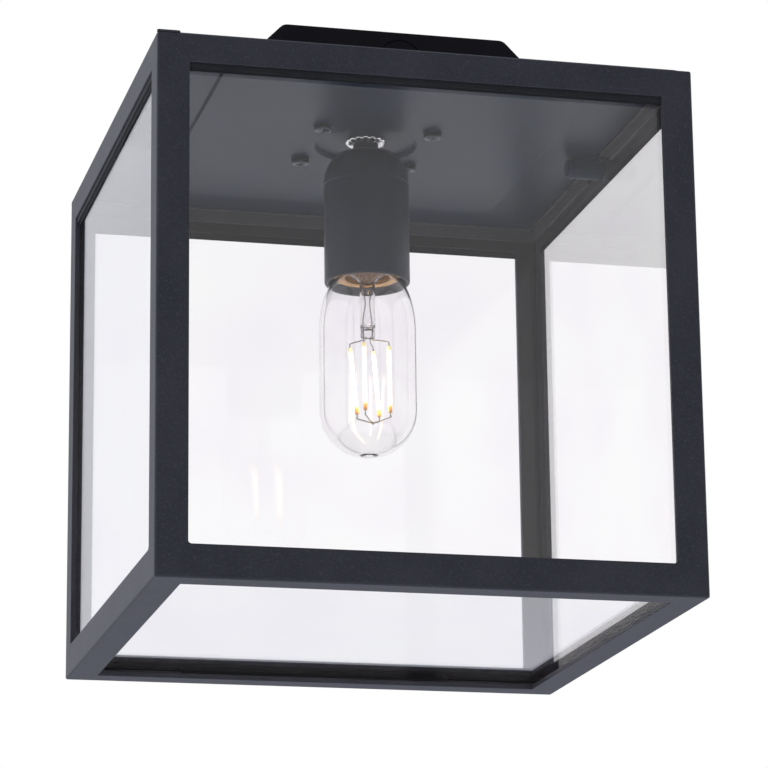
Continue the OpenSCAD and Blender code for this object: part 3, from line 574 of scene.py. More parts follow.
@dataclass(frozen=True)
class ClearGlass:
    """Clear glass: bends and mirrors light, and lets the lamps' light straight through to what is behind it.

    Attributes:
        name: what the glass is and how it was made.
        tint: its sRGB colour where it is least clear.
        haze_mm: width of its waves.
        ripple_mm: their height.
        ior: index of refraction.
    """

    name: str
    tint: str
    haze_mm: float
    ripple_mm: float
    ior: float = 1.5

    def material(self) -> bpy.types.Material:
        """Builds the node material; the ripple is the slight unevenness of drawn or blown glass.

        Returns:
            The material.
        """
        made, tree = blank(self.name)
        place = put(tree, "ShaderNodeTexCoord").outputs["Object"]
        waves = put(
            tree, "ShaderNodeTexNoise", {"Vector": place, "Scale": 1 / (self.haze_mm * MM), "Detail": 1.0}
        ).outputs["Fac"]
        tone = put(
            tree, "ShaderNodeValToRGB", {"Fac": waves}, [(0.3, linear(self.tint)), (0.7, linear("#ffffff"))]
        ).outputs["Color"]
        bump = put(
            tree, "ShaderNodeBump", {"Height": waves, "Strength": 1.0, "Distance": self.ripple_mm * MM}
        ).outputs["Normal"]
        glass = put(
            tree,
            "ShaderNodeBsdfPrincipled",
            {"Base Color": tone, "Normal": bump, "Roughness": 0.0, "IOR": self.ior, "Transmission Weight": 1.0},
        )
        through = put(tree, "ShaderNodeBsdfTransparent", {"Color": linear("#f6f4f7")})
        lamps = put(tree, "ShaderNodeLightPath").outputs["Is Shadow Ray"]
        both = put(tree, "ShaderNodeMixShader", {0: lamps, 1: glass.outputs[0], 2: through.outputs[0]})
        put(tree, "ShaderNodeOutputMaterial", {"Surface": both.outputs[0]})
        return made


@dataclass(frozen=True)
class GlowingPhosphor:
    """A filament of the lamp: a silicone and phosphor coat that glows white, with amber ends.

    Attributes:
        name: what the filament is.
        end: colour of its lower tip.
        neck: colour above that tip.
        middle: colour of its lit part.
        head: colour of its upper end.
        ember: what its two tips give off.
        neck_glow: share of the neck's colour that it gives off.
        head_glow: share of the head's colour that it gives off.
        strength: strength of the glow.
    """

    name: str
    end: str = "#c9862e"
    neck: str = "#ffb347"
    middle: str = "#fff0d0"
    head: str = "#e6d39a"
    ember: str = "#453016"
    neck_glow: float = 0.42
    head_glow: float = 0.3
    strength: float = 2.2

    def material(self) -> bpy.types.Material:
        """Builds the node material; colours go by the rod's own mark 'along'.

        Returns:
            The material.
        """
        made, tree = blank(self.name)
        along = put(tree, "ShaderNodeAttribute", attribute_name="along").outputs["Fac"]
        place = put(tree, "ShaderNodeTexCoord").outputs["Object"]
        grains = put(tree, "ShaderNodeTexNoise", {"Vector": place, "Scale": 1 / (0.5 * MM)}).outputs["Fac"]
        shift = put(tree, "ShaderNodeMath", {0: grains, 1: 0.03, 2: along}, operation="MULTIPLY_ADD").outputs[0]
        dark, amber, white, pale = (linear(c) for c in (self.end, self.neck, self.middle, self.head))
        coat = put(
            tree,
            "ShaderNodeValToRGB",
            {"Fac": shift},
            [(0.0, pale), (0.07, pale), (0.14, white), (0.86, white), (0.92, amber), (1.0, dark)],
        ).outputs["Color"]
        ember = linear(self.ember)
        dim = tuple(self.neck_glow * c for c in amber[:3]) + (1.0,)
        faint = tuple(self.head_glow * c for c in pale[:3]) + (1.0,)
        glow = put(
            tree,
            "ShaderNodeValToRGB",
            {"Fac": shift},
            [(0.0, ember), (0.03, faint), (0.07, faint), (0.14, white), (0.86, white), (0.93, dim), (1.0, ember)],
        ).outputs["Color"]
        shader = put(
            tree,
            "ShaderNodeBsdfPrincipled",
            {"Base Color": coat, "Emission Color": glow, "Emission Strength": self.strength, "Roughness": 0.55},
        )
        put(tree, "ShaderNodeOutputMaterial", {"Surface": shader.outputs[0]})
        return made


@dataclass(frozen=True)
class StripedInsulation:
    """Soft PVC wire insulation in two colours, striped along the wire.

    Attributes:
        name: what the insulation is.
        ground: its sRGB colour.
        stripe: colour of the stripes.
    """

    name: str
    ground: str
    stripe: str

    def material(self) -> bpy.types.Material:
        """Builds the node material; the stripe goes by the wire's own mark 'around'.

        Returns:
            The material.
        """
        made, tree = blank(self.name)
        around = put(tree, "ShaderNodeAttribute", attribute_name="around").outputs["Fac"]
        place = put(tree, "ShaderNodeTexCoord").outputs["Object"]
        fine = put(tree, "ShaderNodeTexNoise", {"Vector": place, "Scale": 1 / (0.6 * MM)}).outputs["Fac"]
        twice = put(tree, "ShaderNodeMath", {0: around, 1: 2.0}, operation="MULTIPLY").outputs[0]
        part = put(tree, "ShaderNodeMath", {0: twice}, operation="FRACT").outputs[0]
        step = put(tree, "ShaderNodeMath", {0: part, 1: 0.5}, operation="GREATER_THAN").outputs[0]
        tone = put(
            tree,
            "ShaderNodeMix",
            {"Factor": step, "A": linear(self.ground), "B": linear(self.stripe)},
            data_type="RGBA",
        ).outputs["Result"]
        bump = put(tree, "ShaderNodeBump", {"Height": fine, "Distance": 0.02 * MM}).outputs["Normal"]
        shader = put(
            tree, "ShaderNodeBsdfPrincipled", {"Base Color": tone, "Roughness": 0.42, "Normal": bump}
        )
        put(tree, "ShaderNodeOutputMaterial", {"Surface": shader.outputs[0]})
        return made


class Finishes:
    """The lantern's materials, each built once."""

    def __init__(self) -> None:
        """Builds every finish."""
        # Polyester powder coat, sprayed and baked: near black, satin, with a fine orange peel
        self.cage = Coat(
            "powder_coat_black", "#2c2d32", "#343539", 0.5, Grain.PEEL, 0.8, 0.05, speck="#404148", gloss="#eef1ff",
        ).material()
        # The same kind of coat on the pan's sheet and the catch housings: dark blue grey, calm and half dull
        self.pan = Coat(
            "powder_coat_sheet", "#15202f", "#1b273a", 0.38, Grain.MOULDED, 1.6, 0.002, patch_mm=40,
            rough_swing=0.015, gloss="#b8d0fb", shine=0.12,
        ).material()
        # Primer on the channel against the ceiling, sprayed: black and dull, with hardly any shine
        self.channel = Coat(
            "primer_black", "#0b090d", "#100e13", 0.7, Grain.PEEL, 0.8, 0.02, gloss="#c8c4d0",
        ).material()
        # Zinc plated steel: bluish, slightly cloudy, finely drawn
        self.zinc = Coat(
            "zinc_plated_steel", "#b4b8bd", "#c9cbcd", 0.26, Grain.BRUSHED, 0.5, 0.006,
            patch_mm=6, metallic=1.0, stretch=(1, 1, 6),
        ).material()
        # Bright zinc of the toothed ring below the pan: freshly plated, nearly a mirror
        self.bright = Coat(
            "bright_zinc_spring_steel", "#e4e6e8", "#f4f5f6", 0.16, Grain.BRUSHED, 0.5, 0.004,
            patch_mm=3, rough_swing=0.05, metallic=1.0,
        ).material()
        # Black zinc on the pan's screws and their washers: dark with a soft shine
        self.dark_zinc = Coat(
            "black_zinc_steel", "#3c3f45", "#4a4d54", 0.24, Grain.BRUSHED, 0.5, 0.008, patch_mm=3, metallic=1.0,
        ).material()
        # Drawn brass, gone slightly brown: the film on it scatters part of what bare metal would mirror
        self.brass = Coat(
            "drawn_brass", "#c2a05c", "#d3b274", 0.28, Grain.BRUSHED, 0.5, 0.005,
            patch_mm=5, metallic=0.65, stretch=(1, 1, 5),
        ).material()
        # Nickel wire in the lamp, drawn: grey, with a soft shine
        self.nickel = Coat(
            "nickel_wire", "#8d8a84", "#a6a29a", 0.3, Grain.BRUSHED, 0.3, 0.003, patch_mm=3, metallic=1.0,
        ).material()
        # EPDM rubber, extruded: black, dull, faintly dusty
        self.rubber = Coat(
            "extruded_rubber", "#131416", "#1b1c1f", 0.7, Grain.MOULDED, 0.7, 0.02, speck="#2a2b2e",
        ).material()
        # Thermoset plastic of the lampholder, moulded: dark blue grey and half dull
        self.holder = Coat(
            "moulded_thermoset", "#171b24", "#1e232c", 0.42, Grain.MOULDED, 0.6, 0.0015, patch_mm=14, gloss="#d4e2fb",
            rough_swing=0.02, shine=0.34,
        ).material()
        # Steatite, pressed and fired: off-white and dull, with faint specks
        self.ceramic = Coat(
            "pressed_steatite", "#d8d4c8", "#e2dfd5", 0.48, Grain.SPECKLED, 0.6, 0.02, speck="#c4bfb0",
        ).material()
        # Polyamide, moulded: milky white, with a soft shine
        self.polyamide = Coat(
            "moulded_polyamide", "#e4e2da", "#eceae4", 0.4, Grain.MOULDED, 0.8, 0.012, coat=0.1,
        ).material()
        # Vitrite, the black glass cast between the lamp's contacts: smooth and shiny
        self.vitrite = Coat(
            "black_vitrite", "#0c0c0d", "#161618", 0.12, Grain.MOULDED, 1.2, 0.01, rough_swing=0.03, coat=0.5,
        ).material()
        # Tin solder on the lamp's foot contact, set from a drop: silver grey, slightly uneven
        self.solder = Coat(
            "tin_solder", "#a9abab", "#c2c3c2", 0.34, Grain.MOULDED, 1.1, 0.05, patch_mm=3, metallic=1.0,
        ).material()
        # Soft PVC, extruded over the wires: even colours, half dull
        self.brown = Coat("pvc_brown", "#5a3119", "#663a20", 0.42, Grain.MOULDED, 0.6, 0.01).material()
        self.blue = Coat("pvc_blue", "#21528f", "#2a5f9e", 0.42, Grain.MOULDED, 0.6, 0.01).material()
        self.earth = StripedInsulation("pvc_green_yellow", "#2e7d32", "#d9c21c").material()
        # Float glass, drawn flat; the ripple is barely there
        self.pane = ClearGlass("float_glass", "#fcfafd", 60.0, 0.004, ior=1.52).material()
        # Rear and floor panes: the same glass, matched to the object by an index that mirrors more faintly
        # than real glass does
        self.calm_pane = ClearGlass("faint_float_glass", "#fcfafd", 60.0, 0.004, ior=1.33).material()
        # Soda glass of the lamp, blown: clear, its outline slightly uneven
        self.bulb = ClearGlass("blown_glass", "#fbf9fb", 14.0, 0.03, ior=1.51).material()
        # Silicone with phosphor, moulded round the filaments: chalky where it is unlit, white where it glows
        self.filament = GlowingPhosphor("glowing_phosphor").material()


# ------------------------------------------------------------------ levels shared by the sub-assemblies


@dataclass(frozen=True)
class Levels:
    """Heights below the ceiling that several sub-assemblies meet at, in millimetres."""

    cage_top: float = -33.4
    cage_bottom: float = -281.4
    catch: float = -41.2
    border_under: float = -35.6
    field_under: float = -37.1
    boss_under: float = -35.0
    web_top: float = -31.4
    ring_under: float = -36.8
    dome_top: float = -40.8
    seam: float = -57.9
    core_top: float = -62.9
    core_under: float = -76.8
    rim: float = -107.1


LEVELS = Levels()


# ------------------------------------------------------------------ sub-assemblies


@dataclass
class CeilingBase:
    """Channel, bracket, terminals and wires between the ceiling and the pan."""

    wire_r: float = 1.05
    terminal_x: float = 39.5
    terminal_rise: float = 4.6
    pole_pitch: float = 9.6
    tube_top: float = -26.9
    tube_bottom: float = -53.8
    post_x: float = 10.0
    earth_x: float = -35.0
    lug_t: float = 0.8

    def wires(self) -> dict[str, Array]:
        """Paths of the three insulated wires, from the terminals to the lampholder or the earth lug.

        Returns:
            For each wire's CAD node, a smooth path through way points.
        """
        x, z = self.terminal_x, LEVELS.web_top + self.terminal_rise
        top, low, end = self.tube_top, self.tube_bottom, LEVELS.core_top
        live = [(x, 0, z), (x - 8, 0, z), (20, 1, z + 4), (9, 1, top + 5), (2, 0, top + 4), (1.6, 0, top - 2),
                (1.6, 0, low + 2), (4, 0, low - 3), (self.post_x, 0, end + 3.4), (self.post_x, 0, end + 1.6)]
        y = -self.pole_pitch
        neutral = [(x, y, z), (x - 8, y, z), (20, -8, z + 5), (4, -5, top + 6), (-2, 0, top + 4),
                   (-1.6, 0, top - 2), (-1.6, 0, low + 2), (-4, 0, low - 3), (-self.post_x, 0, end + 3.4),
                   (-self.post_x, 0, end + 1.6)]
        lug = LEVELS.web_top + self.lug_t + self.wire_r
        earth = [(self.earth_x - 4, 0, lug), (self.earth_x + 2, 0, lug), (-22, 12, lug + 5), (0, 17, lug + 8),
                 (20, 14, lug + 6), (x - 8, -y, z), (x, -y, z)]
        return {"live_wire": routed(live), "neutral_wire": routed(neutral), "earth_wire": routed(earth)}

    def build(self, nodes: dict[str, bpy.types.Object], finishes: Finishes) -> None:
        """Makes the wires and dresses the CAD shapes of the base.

        Args:
            nodes: the frame's CAD nodes by name.
            finishes: the lantern's materials.
        """
        coats = {"live_wire": (finishes.brown, "brown_insulation"), "neutral_wire": (finishes.blue, "blue_insulation"),
                 "earth_wire": (finishes.earth, "green_yellow_insulation")}
        for name, path in self.wires().items():
            finish, slot = coats[name]
            make_piece(f"{name}_insulated", tube(path, self.wire_r, (0, 1, 0.02), 14), finish, "canopy", name)
        dress(nodes, finishes.channel, ["base_channel"])
        dress(nodes, finishes.zinc, ["ceiling_bracket", "side_screws", "terminal_screws", "earth_screw"])
        dress(nodes, finishes.rubber, ["cable_grommet"])
        dress(nodes, finishes.polyamide, ["terminal_block"])
        dress(nodes, finishes.brass, ["earth_lug"])


@dataclass
class Pan:
    """The painted sheet that closes the cage, with what is screwed to it."""

    sheet_t: float = 1.2
    rim_half: float = 122.2
    wall_half: float = 116.6
    field_x: float = 87.7
    field_y: float = 90.0
    bend_r: float = 0.5
    step_run: float = 0.6
    boss_r: float = 24.4
    round_steps: int = 23
    screw_x: float = 27.0
    screw_y: float = 25.0
    head_r: float = 4.2
    head_h: float = 2.6
    shank_r: float = 2.0
    shank_l: float = 10.2
    arm_half: float = 0.62
    arm_side: float = 0.25
    arm_share: float = 0.6
    arm_end: float = 0.6
    recess: float = 1.3
    washer_t: float = 0.5
    washer_over: float = 0.5
    washer_gap: float = 0.25
    washer_teeth: int = 10
    washer_twist: float = 0.25
    ring_r: float = 9.8
    ring_cone: float = 1.5
    ring_t: float = 1.8
    ring_teeth: int = 16
    ring_twist: float = 0.3
    tooth_points: int = 12
    tooth_share: float = 0.72
    tooth_side: float = 0.07
    tooth_depth: float = 0.3
    bore_r: float = 5.15

    def loop(self, x: float, y: float, corner: float, level: float) -> Array:
        """A rounded rectangle at a level, (4 corners x (round_steps + 1) points, 3)."""
        plan = rounded([(-x, -y), (x, -y), (x, y), (-x, y)], corner, self.round_steps)
        return np.column_stack([plan, np.full(len(plan), level)])

    def hoop(self, radius: float, level: float) -> Array:
        """A circle at a level with as many points as a loop; a quarter of them face each corner.

        Args:
            radius: the circle's radius.
            level: its height.

        Returns:
            Points (4 (round_steps + 1), 3), at radius (cos a, sin a).
        """
        count = 4 * (self.round_steps + 1)
        angle = math.pi + FULL * (np.arange(count) + 0.5) / count
        return np.column_stack([radius * np.cos(angle), radius * np.sin(angle), np.full(count, level)])

    def sheet(self) -> Surface:
        """The pan: circles, then rounded rectangles one outside the other, along a profile that runs from
        the tube's hole over the boss, the field, the border and the rim, and back over the top.

        Returns:
            The closed sheet.
        """
        rx, ry, bend, run, t = self.field_x, self.field_y, self.bend_r, self.step_run, self.sheet_t
        boss, field_z, low, rim = LEVELS.boss_under, LEVELS.field_under, LEVELS.border_under, LEVELS.cage_top
        # (radius, level) of the boss's floor, its sloping side and the edge round it
        r = self.boss_r
        dish = drawn((self.bore_r, boss), (r - 1.4, boss), arc((r - 0.85, boss - 0.5), 0.5, 90, 0, 4),
                     arc((r + 0.9, field_z + 0.7), 0.7, 180, 270, 5), (r + 2.2, field_z))
        rings = [self.hoop(d, z) for d, z in dish]
        # (distance outwards, level) of the step's S and of the rim's two bends
        step = drawn(arc((-run / 2 - bend, field_z + bend), bend, 270, 325, 4),
                     arc((run / 2 + bend, low - bend), bend, 145, 90, 4))
        rings += [self.loop(rx + d, ry + d, 3 + d, z) for d, z in step]
        wall = drawn(arc((-1.4, low + 1.4), 1.4, 270, 360, 5), arc((0.5, rim - 0.5 + 0.02), 0.48, 180, 90, 3))
        rings += [self.loop(self.wall_half + d, self.wall_half + d, 3.5 + d, z) for d, z in wall]
        edge = drawn(arc((-0.5, rim + 0.52), 0.5, 270, 360, 3), arc((-0.5, rim + t - 0.5), 0.5, 0, 90, 3))
        rings += [self.loop(self.rim_half + d, self.rim_half + d, 5 + d, z) for d, z in edge]
        inner = self.wall_half - t
        rings += [self.loop(inner + d, inner + d, 2.5 + d, z)
                  for d, z in drawn((0.6, rim + t), (0, rim + t - 0.6), (0, low + t + 0.6), (-0.6, low + t))]
        rings += [self.loop(rx - t + d, ry - t + d, 2 + d, z)
                  for d, z in drawn((0.6, low + t), (0, low + t - 0.5), (0, field_z + t + 0.5), (-0.6, field_z + t))]
        back = drawn((r + t + 0.6, field_z + t), (r + t, field_z + t + 0.6), (r + t, boss + t - 0.6),
                     (r + t - 0.6, boss + t), (self.bore_r, boss + t))
        rings += [self.hoop(d, z) for d, z in back]
        return loft(np.stack(rings), caps=False, wrap=True)

    def screw(self, x: float, y: float) -> Surface:
        """A pan-head screw, head down: a domed profile turned about its axis, with a cross recess where
        the distance from the cross's arms is less than half their width.

        Args:
            x: the screw's place to the right.
            y: its place to the rear.

        Returns:
            The closed screw.
        """
        top = LEVELS.field_under - self.washer_t
        r, h = self.head_r, self.head_h
        crown = arc((0, 0), (r * 0.86, h * 0.30), 270, 340, 20)
        head = drawn(crown + (0, -h * 0.70), arc((r - 0.7, -h * 0.62), 0.7, 300, 360, 4), (r, -0.15), (r - 0.15, 0))
        tip = self.shank_l
        shank = drawn((self.shank_r, 0), (self.shank_r, tip - 0.4), (self.shank_r - 0.4, tip), (0, tip))
        made = spun(drawn(head, shank), 72)
        p = made.points
        arm = np.minimum(np.abs(p[:, 0]), np.abs(p[:, 1]))
        reach = np.maximum(np.abs(p[:, 0]), np.abs(p[:, 1]))
        low = p[:, 2] < -h * 0.5
        across = np.clip((self.arm_half - arm) / self.arm_side, 0, 1)
        deep = across * np.clip((r * self.arm_share - reach) / self.arm_end, 0, 1) * self.recess
        p[:, 2] += np.where(low, deep, 0)
        return made.moved((x, y, top))

    def toothed(self, outer: float, inner: float, thick: float, teeth: int, twist: float, cone: float = 0.0) -> Surface:
        """A ring with bent teeth.

        Its outer radius steps in between the teeth, the teeth lean by twist, and its outside draws in
        by cone towards its underside, as on a countersunk lock washer.

        Args:
            outer: radius over the teeth.
            inner: radius of the hole.
            thick: its thickness.
            teeth: how many teeth.
            twist: how far a tooth rises from one flank to the other.
            cone: how much narrower its underside is.

        Returns:
            The closed ring.
        """
        sides = teeth * self.tooth_points
        angle = np.linspace(0, FULL, sides, endpoint=False)
        phase = (np.arange(sides) % self.tooth_points) / self.tooth_points
        tooth = np.clip(np.minimum(phase, self.tooth_share - phase) / self.tooth_side, 0, 1)
        lean = twist * (phase / self.tooth_share - 0.5) * tooth
        root = outer - (outer - inner) * self.tooth_depth
        radius = root + (outer - root) * tooth
        flat = np.zeros(sides)
        rows = [(inner, flat), (inner, flat + thick), (root, flat + thick), (radius, lean + thick * 0.85),
                (radius - cone * 0.15, lean + thick * 0.6), (radius - cone, lean + thick * 0.1),
                (root - cone, flat)]
        rings = np.stack([np.column_stack([r * np.cos(angle), r * np.sin(angle), z]) for r, z in rows])
        return loft(rings, caps=False, wrap=True)

    def build(self, nodes: dict[str, bpy.types.Object], finishes: Finishes) -> None:
        """Makes the pan's sheet, toothed ring, screws and washers.

        Args:
            nodes: the frame's CAD nodes by name.
            finishes: the lantern's materials.
        """
        spots = [(sx * self.screw_x, sy * self.screw_y) for sx in (-1, 1) for sy in (-1, 1)]
        make_piece("pan_sheet", self.sheet(), finishes.pan, "canopy", "ceiling_pan")
        dress(nodes, finishes.pan, ["stiffening_disc"])
        ring = self.toothed(
            self.ring_r, self.bore_r, self.ring_t, self.ring_teeth, self.ring_twist, self.ring_cone
        )
        make_piece("toothed_lock_ring", ring.moved((0, 0, LEVELS.ring_under)), finishes.bright, "canopy",
                   "toothed_ring")
        make_piece("pan_head_screws", joined([self.screw(*s) for s in spots]), finishes.dark_zinc, "canopy",
                   "pan_screws")
        washer = self.toothed(self.head_r + self.washer_over, self.shank_r + self.washer_gap, self.washer_t,
                              self.washer_teeth, self.washer_twist)
        washers = joined([washer.moved((x, y, LEVELS.field_under - self.washer_t)) for x, y in spots])
        make_piece("toothed_washers", washers, finishes.dark_zinc, "canopy", "pan_washers")
        dress(nodes, finishes.zinc, ["pan_nuts", "threaded_tube", "tube_nut"])


@dataclass
class Lampholder:
    """Dome, sleeve and brass shell that the lamp screws into."""

    outer_r: float = 20.6
    wall: float = 2.0
    flat_r: float = 8.6
    dome_h: float = 15.6
    spigot_r: float = 18.4
    spigot_t: float = 1.6
    tube_r: float = 5.0
    hub_r: float = 7.5
    hub_bottom: float = -53.8
    neck_r: float = 6.2
    shell_r: float = 13.9
    shell_t: float = 0.5
    shell_bottom: float = -103.6
    thread: float = 0.9
    pitch: float = 3.63
    seam_cut: float = 0.35
    latch_turn: float = -12.0
    latch_half: float = 2.4
    latch_top: float = 3.2
    latch_foot: float = 10.2
    latch_depth: float = 0.9

    def dome(self) -> Surface:
        """The dome: a neck, then a quarter ellipse from the flat top to a short straight skirt, and the
        same inside, turned about Z.

        Returns:
            The closed dome.
        """
        top, foot = LEVELS.dome_top, LEVELS.dome_top - self.dome_h
        outer = arc((self.flat_r, foot), (self.outer_r - self.flat_r, self.dome_h), 90, 0, 28)
        groove = drawn((self.outer_r, LEVELS.seam + 0.5), (self.outer_r - self.seam_cut, LEVELS.seam + 0.15))
        spigot_in = self.spigot_r - self.spigot_t
        inner = arc((self.flat_r - 1, foot), (spigot_in - self.flat_r + 1, self.dome_h - self.wall), 0, 90, 20)
        neck, high = self.neck_r, LEVELS.ring_under
        profile = drawn((self.tube_r, high), (neck - 0.3, high), (neck, high - 0.3),
                        arc((neck + 0.8, top + 0.8), 0.8, 180, 270, 4), (self.flat_r - 0.6, top), outer, groove,
                        (self.outer_r - self.seam_cut, LEVELS.seam), (self.spigot_r, LEVELS.seam),
                        (self.spigot_r, LEVELS.core_top), (spigot_in, LEVELS.core_top), inner,
                        (self.hub_r, top - self.wall), (self.hub_r, self.hub_bottom), (self.tube_r, self.hub_bottom))
        return spun(profile, 96, wrap=True)

    def sleeve(self) -> Surface:
        """The sleeve: a plain wall with a rounded rim, turned about Z, and a shallow latch window where the
        outer wall is nearer to the window's middle than half its width.

        Returns:
            The closed sleeve.
        """
        inner = self.outer_r - self.wall
        rim, seam = LEVELS.rim, LEVELS.seam
        wall = np.column_stack([np.full(48, self.outer_r), np.linspace(seam - 0.5, rim + 1.2, 48)])
        cut = self.seam_cut
        profile = drawn((inner, seam), (self.outer_r - cut, seam), (self.outer_r, seam - cut), wall,
                        arc((self.outer_r - 1.1, rim + 1.1), 1.1, 0, -90, 6), (inner + 0.4, rim), (inner, rim + 0.4))
        made = spun(profile, 192, wrap=True)
        p = made.points
        angle = np.arctan2(p[:, 1], p[:, 0])
        top, foot = seam - self.latch_top, seam - self.latch_foot
        across = np.abs(angle - math.radians(self.latch_turn)) * self.outer_r
        inside = np.clip((self.latch_half - across) / 0.5, 0, 1) * np.clip((top - p[:, 2]) / 0.6, 0, 1)
        inside = inside * np.clip((p[:, 2] - foot) / 0.6, 0, 1)
        outer = np.hypot(p[:, 0], p[:, 1]) > self.outer_r - 0.1
        p[:, :2] *= (1 - np.where(outer, inside * self.latch_depth / self.outer_r, 0))[:, None]
        return made

    def shell(self) -> Surface:
        """The brass shell: a sheet rolled into a thread, flared at its foot, closed round the contact above.

        Returns:
            The closed shell.
        """
        thread, t, foot = self.thread / 2, self.shell_t, self.shell_bottom
        mean = self.shell_r - thread
        level = np.linspace(LEVELS.core_under - 2.4, foot + 2.6, 72)
        fade = np.clip(np.minimum(level[0] - level, level - level[-1]) / 2.0, 0, 1) * thread
        inner = drawn((6.8, LEVELS.core_under - 0.5), (mean - 0.6, LEVELS.core_under - 0.5),
                      (mean, LEVELS.core_under - 1.1), np.column_stack([np.full(72, mean), level]),
                      (mean, foot + 1.4), (mean + 1.6, foot))
        outer = inner[::-1] + (t, 0)
        outer[-1], outer[-2] = (6.8, LEVELS.core_under), (mean + t, LEVELS.core_under)
        half = np.concatenate([[0, 0, 0], fade, [0, 0], [0, 0], fade[::-1], [0, 0, 0]])
        return spun(drawn(inner, outer), 64, wrap=True, wave=(half, self.pitch))

    def build(self, nodes: dict[str, bpy.types.Object], finishes: Finishes) -> None:
        """Makes the dome, the sleeve and the shell, and dresses the core and its contacts.

        Args:
            nodes: the frame's CAD nodes by name.
            finishes: the lantern's materials.
        """
        make_piece("lampholder_dome", self.dome(), finishes.holder, "canopy", "holder_dome")
        make_piece("lampholder_sleeve", self.sleeve(), finishes.holder, "canopy", "holder_sleeve")
        make_piece("threaded_brass_shell", self.shell(), finishes.brass, "canopy", "screw_shell")
        dress(nodes, finishes.ceramic, ["holder_core"])
        dress(nodes, finishes.brass, ["centre_contact", "contact_screws"])


class Side(Enum):
    """Which side of the lantern a catch is on."""

    LEFT = -1
    RIGHT = 1


@dataclass
class Catches:
    """The two sprung catches that hold the cage."""

    outer_r: float = 5.0
    start: float = 101.6
    end: float = 121.9
    nose_r: float = 2.0
    bore_r: float = 3.05
    chamber_r: float = 3.9
    chamber_start: float = 105.6
    chamber_end: float = 117.5
    bolt_rear: float = 114.1
    coil_r: float = 3.3
    wire_r: float = 0.35
    travel: float = 0.8
    turns: int = 4
    pad_start: float = 3.0
    pad_end: float = 16.0
    pad_half: float = 3.5
    lug_start: float = 117.6
    lug_half: float = 4.6
    lug_rise: float = 4.4

    def housing(self, side: Side) -> Surface:
        """The housing: a round nose and a bored barrel turned about X, with a flat pad up to the pan.

        Args:
            side: the side that it is on.

        Returns:
            The closed barrel, pad and lug.
        """
        r, n = self.outer_r, self.nose_r
        profile = drawn((0, self.start), arc((r - n, self.start + n), n, 270, 360, 8), (r, self.end - 0.4),
                        (r - 0.4, self.end), (self.bore_r, self.end), (self.bore_r, self.chamber_end),
                        (self.chamber_r, self.chamber_end), (self.chamber_r, self.chamber_start),
                        (0, self.chamber_start))
        barrel = spun(profile, 56).mapped([(0, 1, 0), (0, 0, 1), (1, 0, 0)]).moved((0, 0, LEVELS.catch))
        pad = bar((self.start + self.pad_start, -self.pad_half, LEVELS.catch + 2),
                  (self.start + self.pad_end, self.pad_half, LEVELS.border_under), 0.3)
        # Keeps light out of the rail's notch; the CAD model's housing has no such lug
        lug = bar((self.lug_start, -self.lug_half, LEVELS.catch + self.lug_rise),
                  (self.end, self.lug_half, LEVELS.cage_top - 0.1), 0.3)
        whole = joined([barrel, pad, lug])
        return whole if side is Side.RIGHT else whole.turned(2)

    def spring(self, side: Side) -> Surface:
        """The spring: a rod along x = a + b t, y = r cos t, z = r sin t.

        Args:
            side: the side that it is on.

        Returns:
            The closed rod.
        """
        t = np.linspace(0, FULL * self.turns, 24 * self.turns + 1)
        end = self.bolt_rear - self.travel - 0.1 - self.wire_r
        x = np.linspace(self.chamber_start + self.wire_r, end, len(t))
        path = np.column_stack([x, self.coil_r * np.cos(t), self.coil_r * np.sin(t) + LEVELS.catch])
        whole = tube(path, self.wire_r, (1, 0, 0), 8)
        return whole if side is Side.RIGHT else whole.turned(2)

    def build(self, nodes: dict[str, bpy.types.Object], finishes: Finishes) -> None:
        """Makes both housings and springs and dresses the bolts.

        Args:
            nodes: the frame's CAD nodes by name.
            finishes: the lantern's materials.
        """
        for side in Side:
            word = side.name.lower()
            make_piece(f"catch_barrel_{word}", self.housing(side), finishes.pan, "canopy",
                       f"catch_housing_{word}")
            make_piece(f"catch_coil_{word}", self.spring(side), finishes.zinc, "canopy",
                       f"catch_spring_{word}")
            dress(nodes, finishes.zinc, [f"catch_bolt_{word}"])


